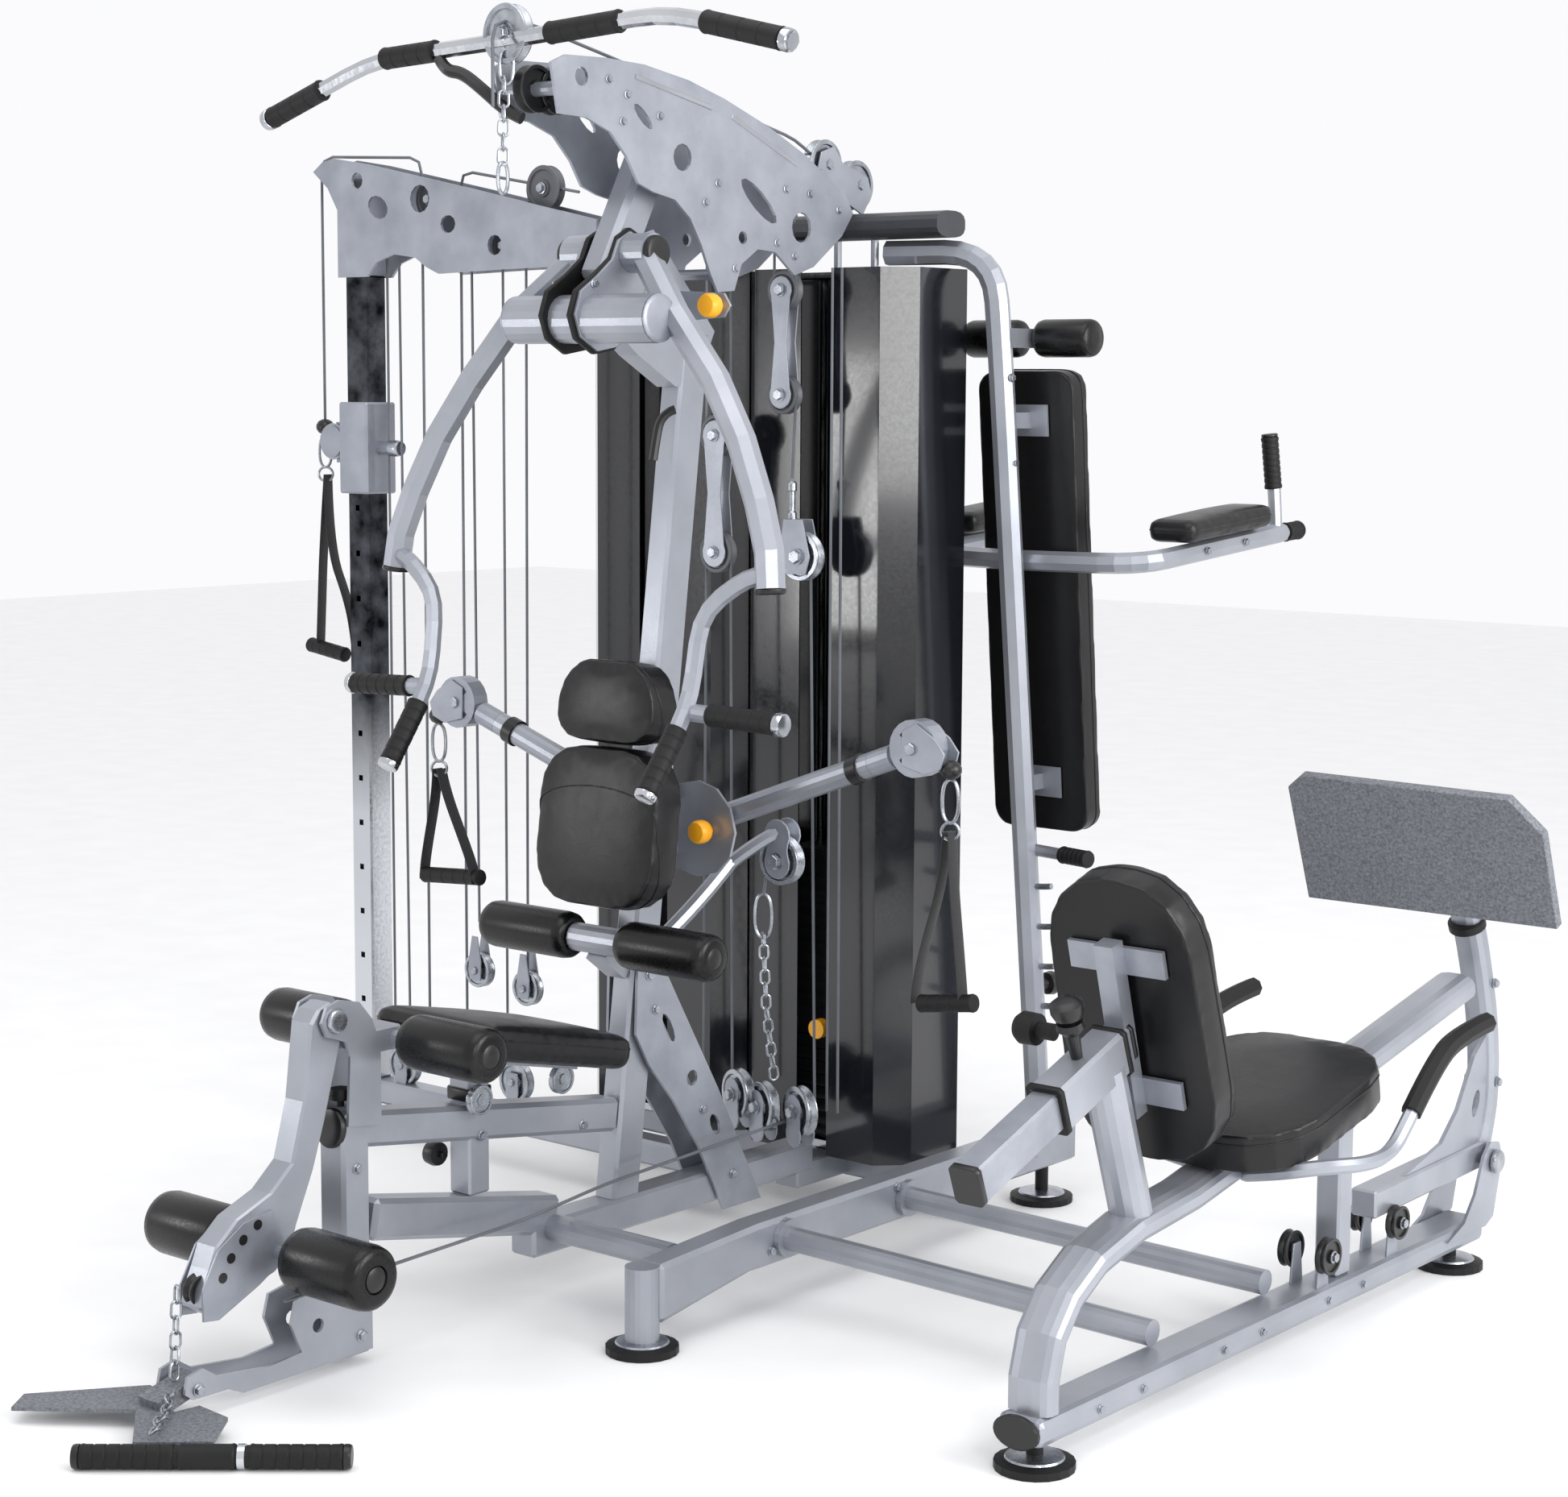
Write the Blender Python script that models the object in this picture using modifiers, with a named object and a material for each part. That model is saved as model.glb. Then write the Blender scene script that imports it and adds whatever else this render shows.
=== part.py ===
"""Multi station home gym: welded tube frame, two weight towers, press, lat, leg, row,
cable-column, knee-raise and leg-press stations.

Metres, +Z up.  The chest-press user faces -Y, the leg-press and knee-raise users face +Y.
Every sub-part is one object.  A moving piece has its origin on its joint axis.
"""
import math

import bmesh
import bpy
from mathutils import Matrix, Vector

# ---------------------------------------------------------------- driving dimensions
ORIGIN_X = 0.248            # puts the middle of the footprint on the origin
ORIGIN_Y = -0.37736
SEAT_X = -0.340             # mid plane of the chest-press station
RAIL_X = 0.0                # right base rail
LEG_X = 0.805               # mid plane of the leg press
KNEE_X = -0.040             # knee-raise upright
FIT = 0.0003                # gap between touching pieces

SEAT_TILT = math.radians(12.5)
UPRIGHT_LEAN = math.radians(6.6)
SLIDE_TILT = math.radians(20.0)
KNEE_TILT = math.radians(5.2)

TOWER_Y = 0.975             # middle of both weight towers
TOWER_X = {"right": -0.330, "left": -0.745}
TOWER_HALF_WIDTH = 0.203
TOWER_HALF_DEPTH = 0.118
GUARD_BOTTOM = 0.112
GUARD_TOP = 1.824
GUARD_SLOT = 0.075
GUARD_SHEET = 0.003

COLUMN_X = -1.412
COLUMN_Y = 0.700
COLUMN_SIDE = 0.060
COLUMN_TOP = 1.826

AXLE = 0.0125               # roller axles, and the bores that run on them
BORE = 0.0135
THIGH_ROLLERS = (0.262, 0.618)      # (y, z) of the three foam roller pairs
KNEE_ROLLERS = (-0.268, 0.536)
SHIN_ROLLERS = (-0.517, 0.227)

PRESS_PIVOT = Vector((SEAT_X, 0.300, 1.830))
LEG_LEVER_PIVOT = Vector((SEAT_X, -0.396, 0.584))
SWING_PIVOT = Vector((0.072, 0.482, 0.806))    # X is the distance from the seat mid plane
SWING_ROOT = Vector((0.082, 0.482, 0.820))
SWING_TIP = Vector((0.455, 0.470, 0.955))
LEG_PRESS_PIVOT = Vector((LEG_X, 1.400, 0.190))

SILVER = (0.50, 0.52, 0.56)
PLATE_SILVER = (0.60, 0.63, 0.68)
CHROME = (0.75, 0.76, 0.78)
BLACK = (0.012, 0.012, 0.014)
RUBBER = (0.010, 0.010, 0.010)
LEATHER = (0.016, 0.016, 0.018)
IRON = (0.030, 0.030, 0.032)
AMBER = (0.80, 0.36, 0.02)
CABLE = (0.16, 0.16, 0.17)
GREY_PLATE = (0.20, 0.20, 0.21)


# ---------------------------------------------------------------- scene set-up
for old in list(bpy.data.objects):
    bpy.data.objects.remove(old, do_unlink=True)

PARTS = bpy.data.collections.new("multi_station_home_gym")
bpy.context.scene.collection.children.link(PARTS)


# ---------------------------------------------------------------- helpers
def as_mesh(ob):
    """Evaluate a curve or a modifier stack into a plain mesh object at the origin."""
    bpy.context.view_layer.update()
    graph = bpy.context.evaluated_depsgraph_get()
    mesh = bpy.data.meshes.new_from_object(ob.evaluated_get(graph))
    mesh.transform(ob.matrix_world)
    work = bmesh.new()
    work.from_mesh(mesh)
    bmesh.ops.remove_doubles(work, verts=work.verts, dist=0.00002)
    bmesh.ops.recalc_face_normals(work, faces=work.faces)
    work.to_mesh(mesh)
    work.free()
    bpy.data.objects.remove(ob, do_unlink=True)
    new = bpy.data.objects.new("piece", mesh)
    bpy.context.scene.collection.objects.link(new)
    return new


def bevelled(ob, width, segments=1):
    if width <= 0:
        return ob
    mod = ob.modifiers.new("edges", "BEVEL")
    mod.width = width
    mod.segments = segments
    mod.limit_method = "ANGLE"
    mod.angle_limit = math.radians(40)
    return as_mesh(ob)


def block(size, centre, tilt=0.0, bevel=0.0, segments=1):
    """Box, tilted about X (positive tilt raises its +Y end)."""
    bpy.ops.mesh.primitive_cube_add(size=1.0)
    ob = bpy.context.active_object
    ob.data.transform(Matrix.Diagonal((size[0], size[1], size[2], 1.0)))
    ob = bevelled(ob, bevel, segments)
    ob.data.transform(Matrix.Translation(centre) @ Matrix.Rotation(tilt, 4, "X"))
    return ob


def bar(start, end, width, height, bevel=0.006):
    """Box tube in a plane across X, from start (y, z) to end (y, z) at x."""
    x = start[0]
    run = math.hypot(end[1] - start[1], end[2] - start[2])
    tilt = math.atan2(end[2] - start[2], end[1] - start[1])
    middle = ((start[1] + end[1]) / 2, (start[2] + end[2]) / 2)
    return block((width, run, height), (x, middle[0], middle[1]), tilt, bevel)


def rod(start, end, radius, sides=16):
    start = Vector(start)
    end = Vector(end)
    span = end - start
    bpy.ops.mesh.primitive_cylinder_add(vertices=sides, radius=radius, depth=span.length)
    ob = bpy.context.active_object
    turn = span.to_track_quat("Z", "Y").to_matrix().to_4x4()
    ob.data.transform(Matrix.Translation((start + end) / 2) @ turn)
    return ob


def cross_rod(y, z, x0, x1, radius, sides=16):
    return rod((x0, y, z), (x1, y, z), radius, sides)


def rounded(points, radius, steps=4):
    """Corner points with each inner corner turned into an arc-like run of points."""
    points = [Vector(p) for p in points]
    path = [points[0]]
    for before, here, after in zip(points, points[1:], points[2:]):
        first = here + (before - here).normalized() * min(radius, (before - here).length * 0.45)
        last = here + (after - here).normalized() * min(radius, (after - here).length * 0.45)
        for step in range(steps + 1):
            t = step / steps
            path.append(first.lerp(here, t).lerp(here.lerp(last, t), t))
    path.append(points[-1])
    return path


def tube(points, radius, sides=12, flat=None):
    """Swept tube along points; flat=(across, along) gives an oval section instead."""
    data = bpy.data.curves.new("route", "CURVE")
    data.dimensions = "3D"
    data.twist_mode = "MINIMUM"
    spline = data.splines.new("POLY")
    spline.points.add(len(points) - 1)
    for point, place in zip(spline.points, points):
        point.co = (place[0], place[1], place[2], 1.0)
    data.use_fill_caps = True
    profile = None
    if flat is None:
        data.bevel_depth = radius
        data.bevel_resolution = max(0, sides // 4 - 1)
    else:
        section = bpy.data.curves.new("section", "CURVE")
        section.dimensions = "2D"
        ring = section.splines.new("POLY")
        ring.points.add(sides - 1)
        for step in range(sides):
            angle = math.tau * (step + 0.5) / sides
            squared = 0.72
            u = math.copysign(abs(math.cos(angle)) ** squared, math.cos(angle)) * flat[0] / 2
            v = math.copysign(abs(math.sin(angle)) ** squared, math.sin(angle)) * flat[1] / 2
            ring.points[step].co = (u, v, 0.0, 1.0)
        ring.use_cyclic_u = True
        profile = bpy.data.objects.new("section", section)
        bpy.context.scene.collection.objects.link(profile)
        data.bevel_mode = "OBJECT"
        data.bevel_object = profile
    ob = bpy.data.objects.new("route", data)
    bpy.context.scene.collection.objects.link(ob)
    ob = as_mesh(ob)
    if profile is not None:
        bpy.data.objects.remove(profile, do_unlink=True)
    return ob


def circle(u, v, radius, steps=12, stretch=1.0, turn=0.0):
    """Round or stretched outline in a plate's own plane."""
    ring = []
    for step in range(steps):
        angle = math.tau * step / steps
        a = math.cos(angle) * radius * stretch
        b = math.sin(angle) * radius
        ring.append((u + a * math.cos(turn) - b * math.sin(turn),
                     v + a * math.sin(turn) + b * math.cos(turn)))
    return ring


def plate(outline, thickness, facing, offset, holes=()):
    """Flat laser-cut sheet.  facing 'X' takes (y, z) points, 'Y' takes (x, z), 'Z' (x, y)."""
    data = bpy.data.curves.new("outline", "CURVE")
    data.dimensions = "2D"
    data.fill_mode = "BOTH"
    data.extrude = thickness / 2
    for ring in [outline, *holes]:
        spline = data.splines.new("POLY")
        spline.points.add(len(ring) - 1)
        for point, place in zip(spline.points, ring):
            point.co = (place[0], place[1], 0.0, 1.0)
        spline.use_cyclic_u = True
    ob = bpy.data.objects.new("outline", data)
    bpy.context.scene.collection.objects.link(ob)
    ob = as_mesh(ob)
    if facing == "X":
        frame = Matrix(((0, 0, 1, offset), (1, 0, 0, 0), (0, 1, 0, 0), (0, 0, 0, 1)))
    elif facing == "Y":
        frame = Matrix(((1, 0, 0, 0), (0, 0, -1, offset), (0, 1, 0, 0), (0, 0, 0, 1)))
    else:
        frame = Matrix.Translation((0, 0, offset))
    ob.data.transform(frame)
    return ob


def combine(ob, others, operation):
    for other in others:
        mod = ob.modifiers.new("join", "BOOLEAN")
        mod.operation = operation
        mod.solver = "EXACT"
        mod.object = other
        ob = as_mesh(ob)
        bpy.data.objects.remove(other, do_unlink=True)
    return ob


def union(ob, *others):
    return combine(ob, others, "UNION")


def cut(ob, *others):
    return combine(ob, others, "DIFFERENCE")


def turned(profile, axis_start, axis_end, sides=20):
    """Solid of revolution: profile is (radius, distance along the axis), far end first."""
    mesh = bpy.data.meshes.new("profile")
    mesh.from_pydata([(r, 0.0, h) for r, h in profile], [(i, i + 1) for i in range(len(profile) - 1)], [])
    ob = bpy.data.objects.new("profile", mesh)
    bpy.context.scene.collection.objects.link(ob)
    mod = ob.modifiers.new("turn", "SCREW")
    mod.steps = sides
    mod.render_steps = sides
    mod.use_merge_vertices = True
    mod.merge_threshold = 0.00005
    ob = as_mesh(ob)
    start = Vector(axis_start)
    span = Vector(axis_end) - start
    turn = span.to_track_quat("Z", "Y").to_matrix().to_4x4()
    ob.data.transform(Matrix.Translation(start) @ turn)
    return ob


def pad(size, centre, tilt, corner, edge, taper=1.0):
    """Upholstered pad: rounded-corner board shape, thickness along local Y."""
    half_w = size[0] / 2
    half_h = size[2] / 2
    ring = []
    for quadrant, (sx, sz) in enumerate(((1, 1), (-1, 1), (-1, -1), (1, -1))):
        for step in range(5):
            angle = math.pi / 2 * (quadrant + step / 4)
            x = sx * (half_w - corner) + math.cos(angle) * corner
            z = sz * (half_h - corner) + math.sin(angle) * corner
            ring.append((x * (1.0 + (taper - 1.0) * (z + half_h) / (2 * half_h)), z))
    ob = plate(ring, size[1], "Y", 0.0)
    ob = bevelled(ob, edge, 2)
    ob.data.transform(Matrix.Translation(centre) @ Matrix.Rotation(tilt, 4, "X"))
    return ob


def material_for(name, colour, roughness, metallic):
    mat = bpy.data.materials.new("mat_" + name)
    mat.use_nodes = True
    shader = mat.node_tree.nodes["Principled BSDF"]
    shader.inputs["Base Color"].default_value = (*colour, 1.0)
    shader.inputs["Roughness"].default_value = roughness
    shader.inputs["Metallic"].default_value = metallic
    return mat


def part(name, ob, colour, roughness, metallic, pivot=(0.0, 0.0, 0.0)):
    """Name a finished mesh, give it its material and put its origin on its pivot."""
    pivot = Vector(pivot)
    ob.data.transform(Matrix.Translation(-pivot))
    ob.name = name
    ob.data.name = name
    ob.location = pivot + Vector((ORIGIN_X, ORIGIN_Y, 0.0))
    ob.data.materials.clear()
    ob.data.materials.append(material_for(name, colour, roughness, metallic))
    ob.data.shade_smooth()
    ob.data.set_sharp_from_angle(angle=math.radians(32))
    for holder in list(ob.users_collection):
        holder.objects.unlink(ob)
    PARTS.objects.link(ob)
    return ob


def steel(name, ob, pivot=(0.0, 0.0, 0.0)):
    return part(name, ob, SILVER, 0.38, 0.75, pivot)


# ---------------------------------------------------------------- levelling feet
def foot(name, x, y, top):
    ob = turned([(0.0, top), (0.013, top), (0.013, 0.018), (0.046, 0.016), (0.062, 0.012),
                 (0.062, 0.0), (0.0, 0.0)], (x, y, 0), (x, y, 1), 20)
    return part(name, ob, RUBBER, 0.75, 0.0)


foot("foot_front", RAIL_X, 0.0, 0.0205 - FIT)
foot("foot_rear", RAIL_X - 0.02, 1.20, 0.083 - FIT)
foot("foot_leg_front", LEG_X, -0.015, 0.045 - FIT)
foot("foot_leg_rear", LEG_X, 1.32, 0.045 - FIT)

# ---------------------------------------------------------------- base frame
rail = plate([(0.015, 0.047), (0.25, 0.083), (1.25, 0.083), (1.25, 0.163), (0.27, 0.163), (0.015, 0.149)],
             0.060, "X", RAIL_X)
rail = bevelled(rail, 0.008)
rail = union(rail, rod((RAIL_X, 0, 0.0205), (RAIL_X, 0, 0.147), 0.0293, 20))
steel("base_rail_right", rail)

centre = bar((SEAT_X, -0.3122, 0.2346), (SEAT_X, 0.125, 0.148), 0.060, 0.070, 0.008)
centre = union(centre, block((0.060, 0.780, 0.060), (SEAT_X, 0.450, 0.113), 0.0, 0.006))
centre = union(centre, block((0.058, 0.200, 0.050), (SEAT_X, 0.890, 0.080), 0.0, 0.004))
centre = union(centre, cross_rod(0.110, 0.130, SEAT_X + 0.01, RAIL_X - 0.030 - FIT, 0.024, 16))
centre = union(centre, block((1.110, 0.055, 0.050), (-0.890, COLUMN_Y, 0.101), 0.0, 0.006))
centre = union(centre, block((0.960, 0.060, 0.055), (-0.5103, TOWER_Y, 0.0775), 0.0, 0.006))
centre = union(centre, rod((-0.93, TOWER_Y, 0.0), (-0.93, TOWER_Y, 0.018), 0.055, 20))
centre = union(centre, rod((-0.93, TOWER_Y, 0.01), (-0.93, TOWER_Y, 0.06), 0.014, 12))
centre = union(centre, rod((COLUMN_X, COLUMN_Y, 0.0), (COLUMN_X, COLUMN_Y, 0.018), 0.055, 20))
centre = union(centre, rod((COLUMN_X, COLUMN_Y, 0.01), (COLUMN_X, COLUMN_Y, 0.09), 0.014, 12))
steel("base_centre_frame", centre)

leg_rail = block((0.080, 1.440, 0.045), (LEG_X, 0.660, 0.0675), 0.0, 0.012, 2)
BRACKET = [(1.225, 0.072), (1.375, 0.072), (1.405, 0.085), (1.435, 0.190), (1.420, 0.222),
           (1.385, 0.228), (1.360, 0.205), (1.330, 0.140), (1.290, 0.095)]
for side in (-1, 1):
    leg_rail = union(leg_rail, plate(BRACKET, 0.006, "X", LEG_X + side * 0.0415,
                                     [circle(1.400, 0.190, 0.0104, 12)]))
steel("base_rail_leg_press", leg_rail)

for name, y, z in (("link_tube_front", 0.339, 0.126), ("link_tube_rear", 0.689, 0.123)):
    link = rod((RAIL_X + 0.031, y, z), (LEG_X - 0.020, y, 0.0926 + 0.0215), 0.0215, 16)
    link = union(link, rod((RAIL_X + 0.030 + FIT, y, z), (RAIL_X + 0.042, y, z), 0.034, 16))
    steel(name, link)

# ---------------------------------------------------------------- chest station frame
POST_Y = -0.350
seat = block((0.060, 0.060, 0.400), (SEAT_X, POST_Y, 0.215), 0.0, 0.006)
seat = union(seat, bar((SEAT_X, -0.372, 0.3975), (SEAT_X, 0.281, 0.2995), 0.060, 0.060, 0.008))
seat = union(seat, block((0.050, 0.050, 0.234), (SEAT_X, -0.065, 0.343), 0.0, 0.004))
seat = union(seat, block((0.150, 0.230, 0.006), (SEAT_X, 0.01214, 0.44606), -SEAT_TILT))
EAR = [(-0.372, 0.405), (-0.300, 0.395), (-0.300, 0.530), (-0.318, 0.575), (-0.345, 0.607),
       (-0.388, 0.617), (-0.415, 0.609), (-0.427, 0.584), (-0.416, 0.560), (-0.394, 0.553),
       (-0.375, 0.545), (-0.366, 0.520)]
for side in (-1, 1):
    seat = union(seat, plate(EAR, 0.006, "X", SEAT_X + side * 0.0325, [circle(-0.396, 0.584, 0.0104, 12)]))
FORK = [(-0.325, 0.022), (-0.325, 0.150), (-0.440, 0.150), (-0.490, 0.140), (-0.500, 0.104), (-0.478, 0.054),
        (-0.544, 0.048), (-0.650, 0.060), (-0.680, 0.080), (-0.710, 0.072), (-0.716, 0.046), (-0.700, 0.034),
        (-0.630, 0.033), (-0.600, 0.019), (-0.470, 0.020)]
for side in (-1, 1):
    seat = union(seat, plate(FORK, 0.006, "X", SEAT_X + side * 0.0325, [circle(-0.443, 0.090, 0.012, 10)]))
seat = union(seat, cross_rod(-0.690, 0.048, SEAT_X - 0.0360, SEAT_X + 0.0360, 0.008, 12))
seat = union(seat, cross_rod(KNEE_ROLLERS[0], KNEE_ROLLERS[1], SEAT_X - 0.238, SEAT_X + 0.238, AXLE, 12))
seat = union(seat, block((0.071, 0.070, 0.040), (SEAT_X, -0.288, 0.536), 0.0, 0.003))
steel("seat_frame", seat)

upright_top = Vector((SEAT_X, 0.498, 1.700))
upright = bar((SEAT_X, 0.304, 0.130), tuple(upright_top), 0.050, 0.070, 0.006)
upright = cut(upright, block((0.2, 0.2, 0.1), (SEAT_X, 0.30, 0.0935)))
head = bar((SEAT_X, 0.268, 1.775), (SEAT_X, 0.410, 2.035), 0.058, 0.072, 0.010)
upright = union(upright, head)
NECK = [(0.262, 1.752), (0.330, 1.860), (0.380, 1.875), (0.545, 1.700), (0.500, 1.610), (0.440, 1.600),
        (0.340, 1.655), (0.285, 1.695)]
upright = union(upright, plate(NECK, 0.046, "X", SEAT_X))
upright = union(upright, cross_rod(PRESS_PIVOT.y, PRESS_PIVOT.z, SEAT_X - 0.100, SEAT_X + 0.100, 0.014, 16))
upright = union(upright, block((0.048, 0.075, 0.100), (SEAT_X, 0.4125, SWING_PIVOT.z), 0.0, 0.0))
for way in (-1, 1):
    x = SEAT_X + way * SWING_PIVOT.x
    disc = plate([(SEAT_X, 0.732), (x, 0.718), (x + way * 0.044, 0.730), (x + way * 0.076, 0.762),
                  (x + way * 0.088, 0.806), (x + way * 0.076, 0.850), (x + way * 0.044, 0.882),
                  (x, 0.894), (SEAT_X, 0.880)][::way], 0.006, "Y", 0.4475)
    disc = union(disc, rod((x, 0.446, SWING_PIVOT.z), (x, 0.510, SWING_PIVOT.z), 0.0125, 16))
    upright = union(upright, disc)
steel("main_upright", upright)

GUSSET = [(0.322, 0.560), (0.350, 0.585), (0.392, 0.555), (0.545, 0.300), (0.669, 0.066), (0.560, 0.066),
          (0.490, 0.200), (0.420, 0.300), (0.352, 0.380), (0.318, 0.440)]
gusset_holes = [circle(0.405, 0.440, 0.010, 10, 3.2, math.radians(-62)),
                circle(0.470, 0.335, 0.015, 10), circle(0.535, 0.235, 0.012, 10, 1.9, math.radians(-62))]
gusset = plate(GUSSET, 0.006, "X", SEAT_X + 0.0345, gusset_holes)
gusset = union(gusset, plate(GUSSET, 0.006, "X", SEAT_X - 0.0345, gusset_holes))
gusset = union(gusset, cross_rod(0.585, 0.175, SEAT_X - 0.036, SEAT_X + 0.036, 0.010, 12))
part("gusset_plates", gusset, PLATE_SILVER, 0.35, 0.7)

# ---------------------------------------------------------------- boom
BOOM = [(0.075, 2.135), (0.110, 2.150), (0.210, 2.153), (0.305, 2.150), (0.420, 2.133), (0.518, 2.108),
        (0.640, 2.068), (0.746, 2.024), (0.866, 1.958), (0.888, 1.925), (0.855, 1.882), (0.771, 1.822),
        (0.716, 1.805), (0.660, 1.845), (0.610, 1.848), (0.565, 1.820), (0.545, 1.772), (0.500, 1.768),
        (0.480, 1.800), (0.455, 1.850), (0.425, 1.895), (0.385, 1.925), (0.330, 1.935), (0.290, 1.948),
        (0.262, 1.990), (0.220, 2.030), (0.160, 2.050), (0.092, 2.052)]
boom_holes = [circle(0.148, 2.117, 0.016, 12), circle(0.302, 2.062, 0.010, 10, 3.0, math.radians(-40)),
              circle(0.404, 1.999, 0.024, 12), circle(0.613, 1.934, 0.018, 12, 3.4, math.radians(-36)),
              circle(0.568, 1.867, 0.012, 10), circle(0.735, 1.892, 0.028, 12)]
boom = plate(BOOM, 0.006, "X", SEAT_X + 0.067, boom_holes)
boom = union(boom, plate(BOOM, 0.006, "X", SEAT_X - 0.067, boom_holes))
for y, z, r in ((0.100, 2.095, 0.012), (0.800, 1.990, 0.012), (0.510, 1.800, 0.010)):
    boom = union(boom, cross_rod(y, z, SEAT_X - 0.069, SEAT_X + 0.069, r, 12))
part("boom_plates", boom, PLATE_SILVER, 0.35, 0.7)

# ---------------------------------------------------------------- rear upright and top beam
rear_path = rounded([(KNEE_X + 0.018, 1.185, 0.163 + FIT), (KNEE_X + 0.018, 1.185, 0.200), (KNEE_X, 1.050, 1.650),
                     (KNEE_X - 0.01, 1.035, 1.855), (SEAT_X + 0.078, 0.985, 1.855)], 0.180, 6)
rear = tube(rear_path, 0.024, 12)
rear = union(rear, block((0.028, 0.120, 0.036), (KNEE_X, 1.105, 1.695), 0.0, 0.0))
rear = cut(rear, cross_rod(1.150, 1.695, KNEE_X - 0.05, KNEE_X + 0.05, 0.0128, 20))
for z in (1.540, 0.840):
    pad_back = 1.1629 - (z - 1.190) * math.tan(KNEE_TILT)
    rear = union(rear, block((0.110, 0.004, 0.060), (KNEE_X, pad_back - 0.0023, z), KNEE_TILT))
    rear = union(rear, block((0.030, 0.070, 0.030), (KNEE_X, pad_back - 0.0375, z), 0.0))
steel("rear_upright", rear)

beam = tube([(SEAT_X - 0.52, 0.975, 1.905), (SEAT_X + 0.01, 0.975, 1.905), (-0.105, 0.975, 1.905)], 0.0, 16,
            (0.090, 0.050))
part("tower_top_beam", beam, IRON, 0.45, 0.5)

# ---------------------------------------------------------------- cable column
column = block((COLUMN_SIDE, COLUMN_SIDE, COLUMN_TOP - 0.1263), (COLUMN_X, COLUMN_Y, (COLUMN_TOP + 0.1263) / 2),
               0.0, 0.004)
for index in range(14):
    z = 0.30 + index * 0.095
    column = cut(column, block((0.012, 0.1, 0.012), (COLUMN_X, COLUMN_Y, z)))
part("column_tube", column, CHROME, 0.16, 1.0)

ARM = [(-1.529, 2.041), (-1.500, 2.060), (-1.466, 2.066), (-1.368, 2.051), (-1.063, 1.990), (-0.720, 1.918),
       (-0.720, 1.833), (-0.974, 1.829), (-1.157, 1.824), (-1.192, 1.838), (-1.225, 1.858), (-1.290, 1.866),
       (-1.340, 1.850), (-1.367, 1.822), (-1.456, 1.822), (-1.456, 1.960), (-1.485, 2.006)]
arm_holes = [circle(-1.395, 2.018, 0.017, 10), circle(-1.333, 1.962, 0.022, 12, 1.4, math.radians(-25)),
             circle(-1.209, 1.975, 0.028, 12), circle(-1.128, 1.922, 0.018, 10, 1.2),
             circle(-0.996, 1.877, 0.020, 12)]
arm = plate(ARM, 0.006, "Y", COLUMN_Y - 0.0335, arm_holes)
arm = union(arm, plate(ARM, 0.006, "Y", COLUMN_Y + 0.0335, arm_holes))
for x, z in ((-1.440, 2.030), (-0.760, 1.875)):
    arm = union(arm, rod((x, COLUMN_Y - 0.035, z), (x, COLUMN_Y + 0.035, z), 0.010, 12))
part("column_arm_plates", arm, PLATE_SILVER, 0.35, 0.7)

SLEEVE_Z = 1.470
sleeve = block((0.086, 0.084, 0.190), (COLUMN_X, COLUMN_Y, SLEEVE_Z), 0.0, 0.004)
sleeve = cut(sleeve, block((COLUMN_SIDE + 0.0012, COLUMN_SIDE + 0.0012, 0.4), (COLUMN_X, COLUMN_Y, SLEEVE_Z)))
sleeve = union(sleeve, block((0.050, 0.008, 0.085), (COLUMN_X - 0.067, COLUMN_Y, SLEEVE_Z + 0.010)))
sleeve = union(sleeve, rod((COLUMN_X - 0.092, COLUMN_Y - 0.020, SLEEVE_Z + 0.012),
                           (COLUMN_X - 0.092, COLUMN_Y + 0.020, SLEEVE_Z + 0.012), 0.034, 20))
sleeve = union(sleeve, rod((COLUMN_X + 0.040, COLUMN_Y, SLEEVE_Z), (COLUMN_X + 0.075, COLUMN_Y, SLEEVE_Z),
                           0.014, 12))
part("column_carriage", sleeve, PLATE_SILVER, 0.4, 0.7, (COLUMN_X, COLUMN_Y, SLEEVE_Z))


# ---------------------------------------------------------------- weight towers
def guard_outline(middle):
    """Open C section of a folded sheet guard, slot in front; (x, y) points."""
    w = TOWER_HALF_WIDTH
    d = TOWER_HALF_DEPTH
    s = GUARD_SLOT / 2
    right = [(s, -d), (w - 0.052, -d), (w, -d + 0.050), (w, d - 0.040), (w - 0.045, d), (0.0, d)]
    left = [(-x, y) for x, y in reversed(right[:-1])]
    return [(middle + x, TOWER_Y + y) for x, y in right + left]


def folded_guard(name, middle):
    line = guard_outline(middle)
    mesh = bpy.data.meshes.new("sheet")
    rings = len(line)
    verts = [(x, y, z) for z in (GUARD_BOTTOM, GUARD_TOP) for x, y in line]
    faces = [(i, i + 1, rings + i + 1, rings + i) for i in range(rings - 1)]
    mesh.from_pydata(verts, [], faces)
    ob = bpy.data.objects.new("sheet", mesh)
    bpy.context.scene.collection.objects.link(ob)
    mod = ob.modifiers.new("sheet", "SOLIDIFY")
    mod.thickness = GUARD_SHEET
    mod.offset = 1.0
    mod.use_even_offset = True
    ob = as_mesh(ob)
    return part(name, ob, BLACK, 0.22, 0.1)


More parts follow.
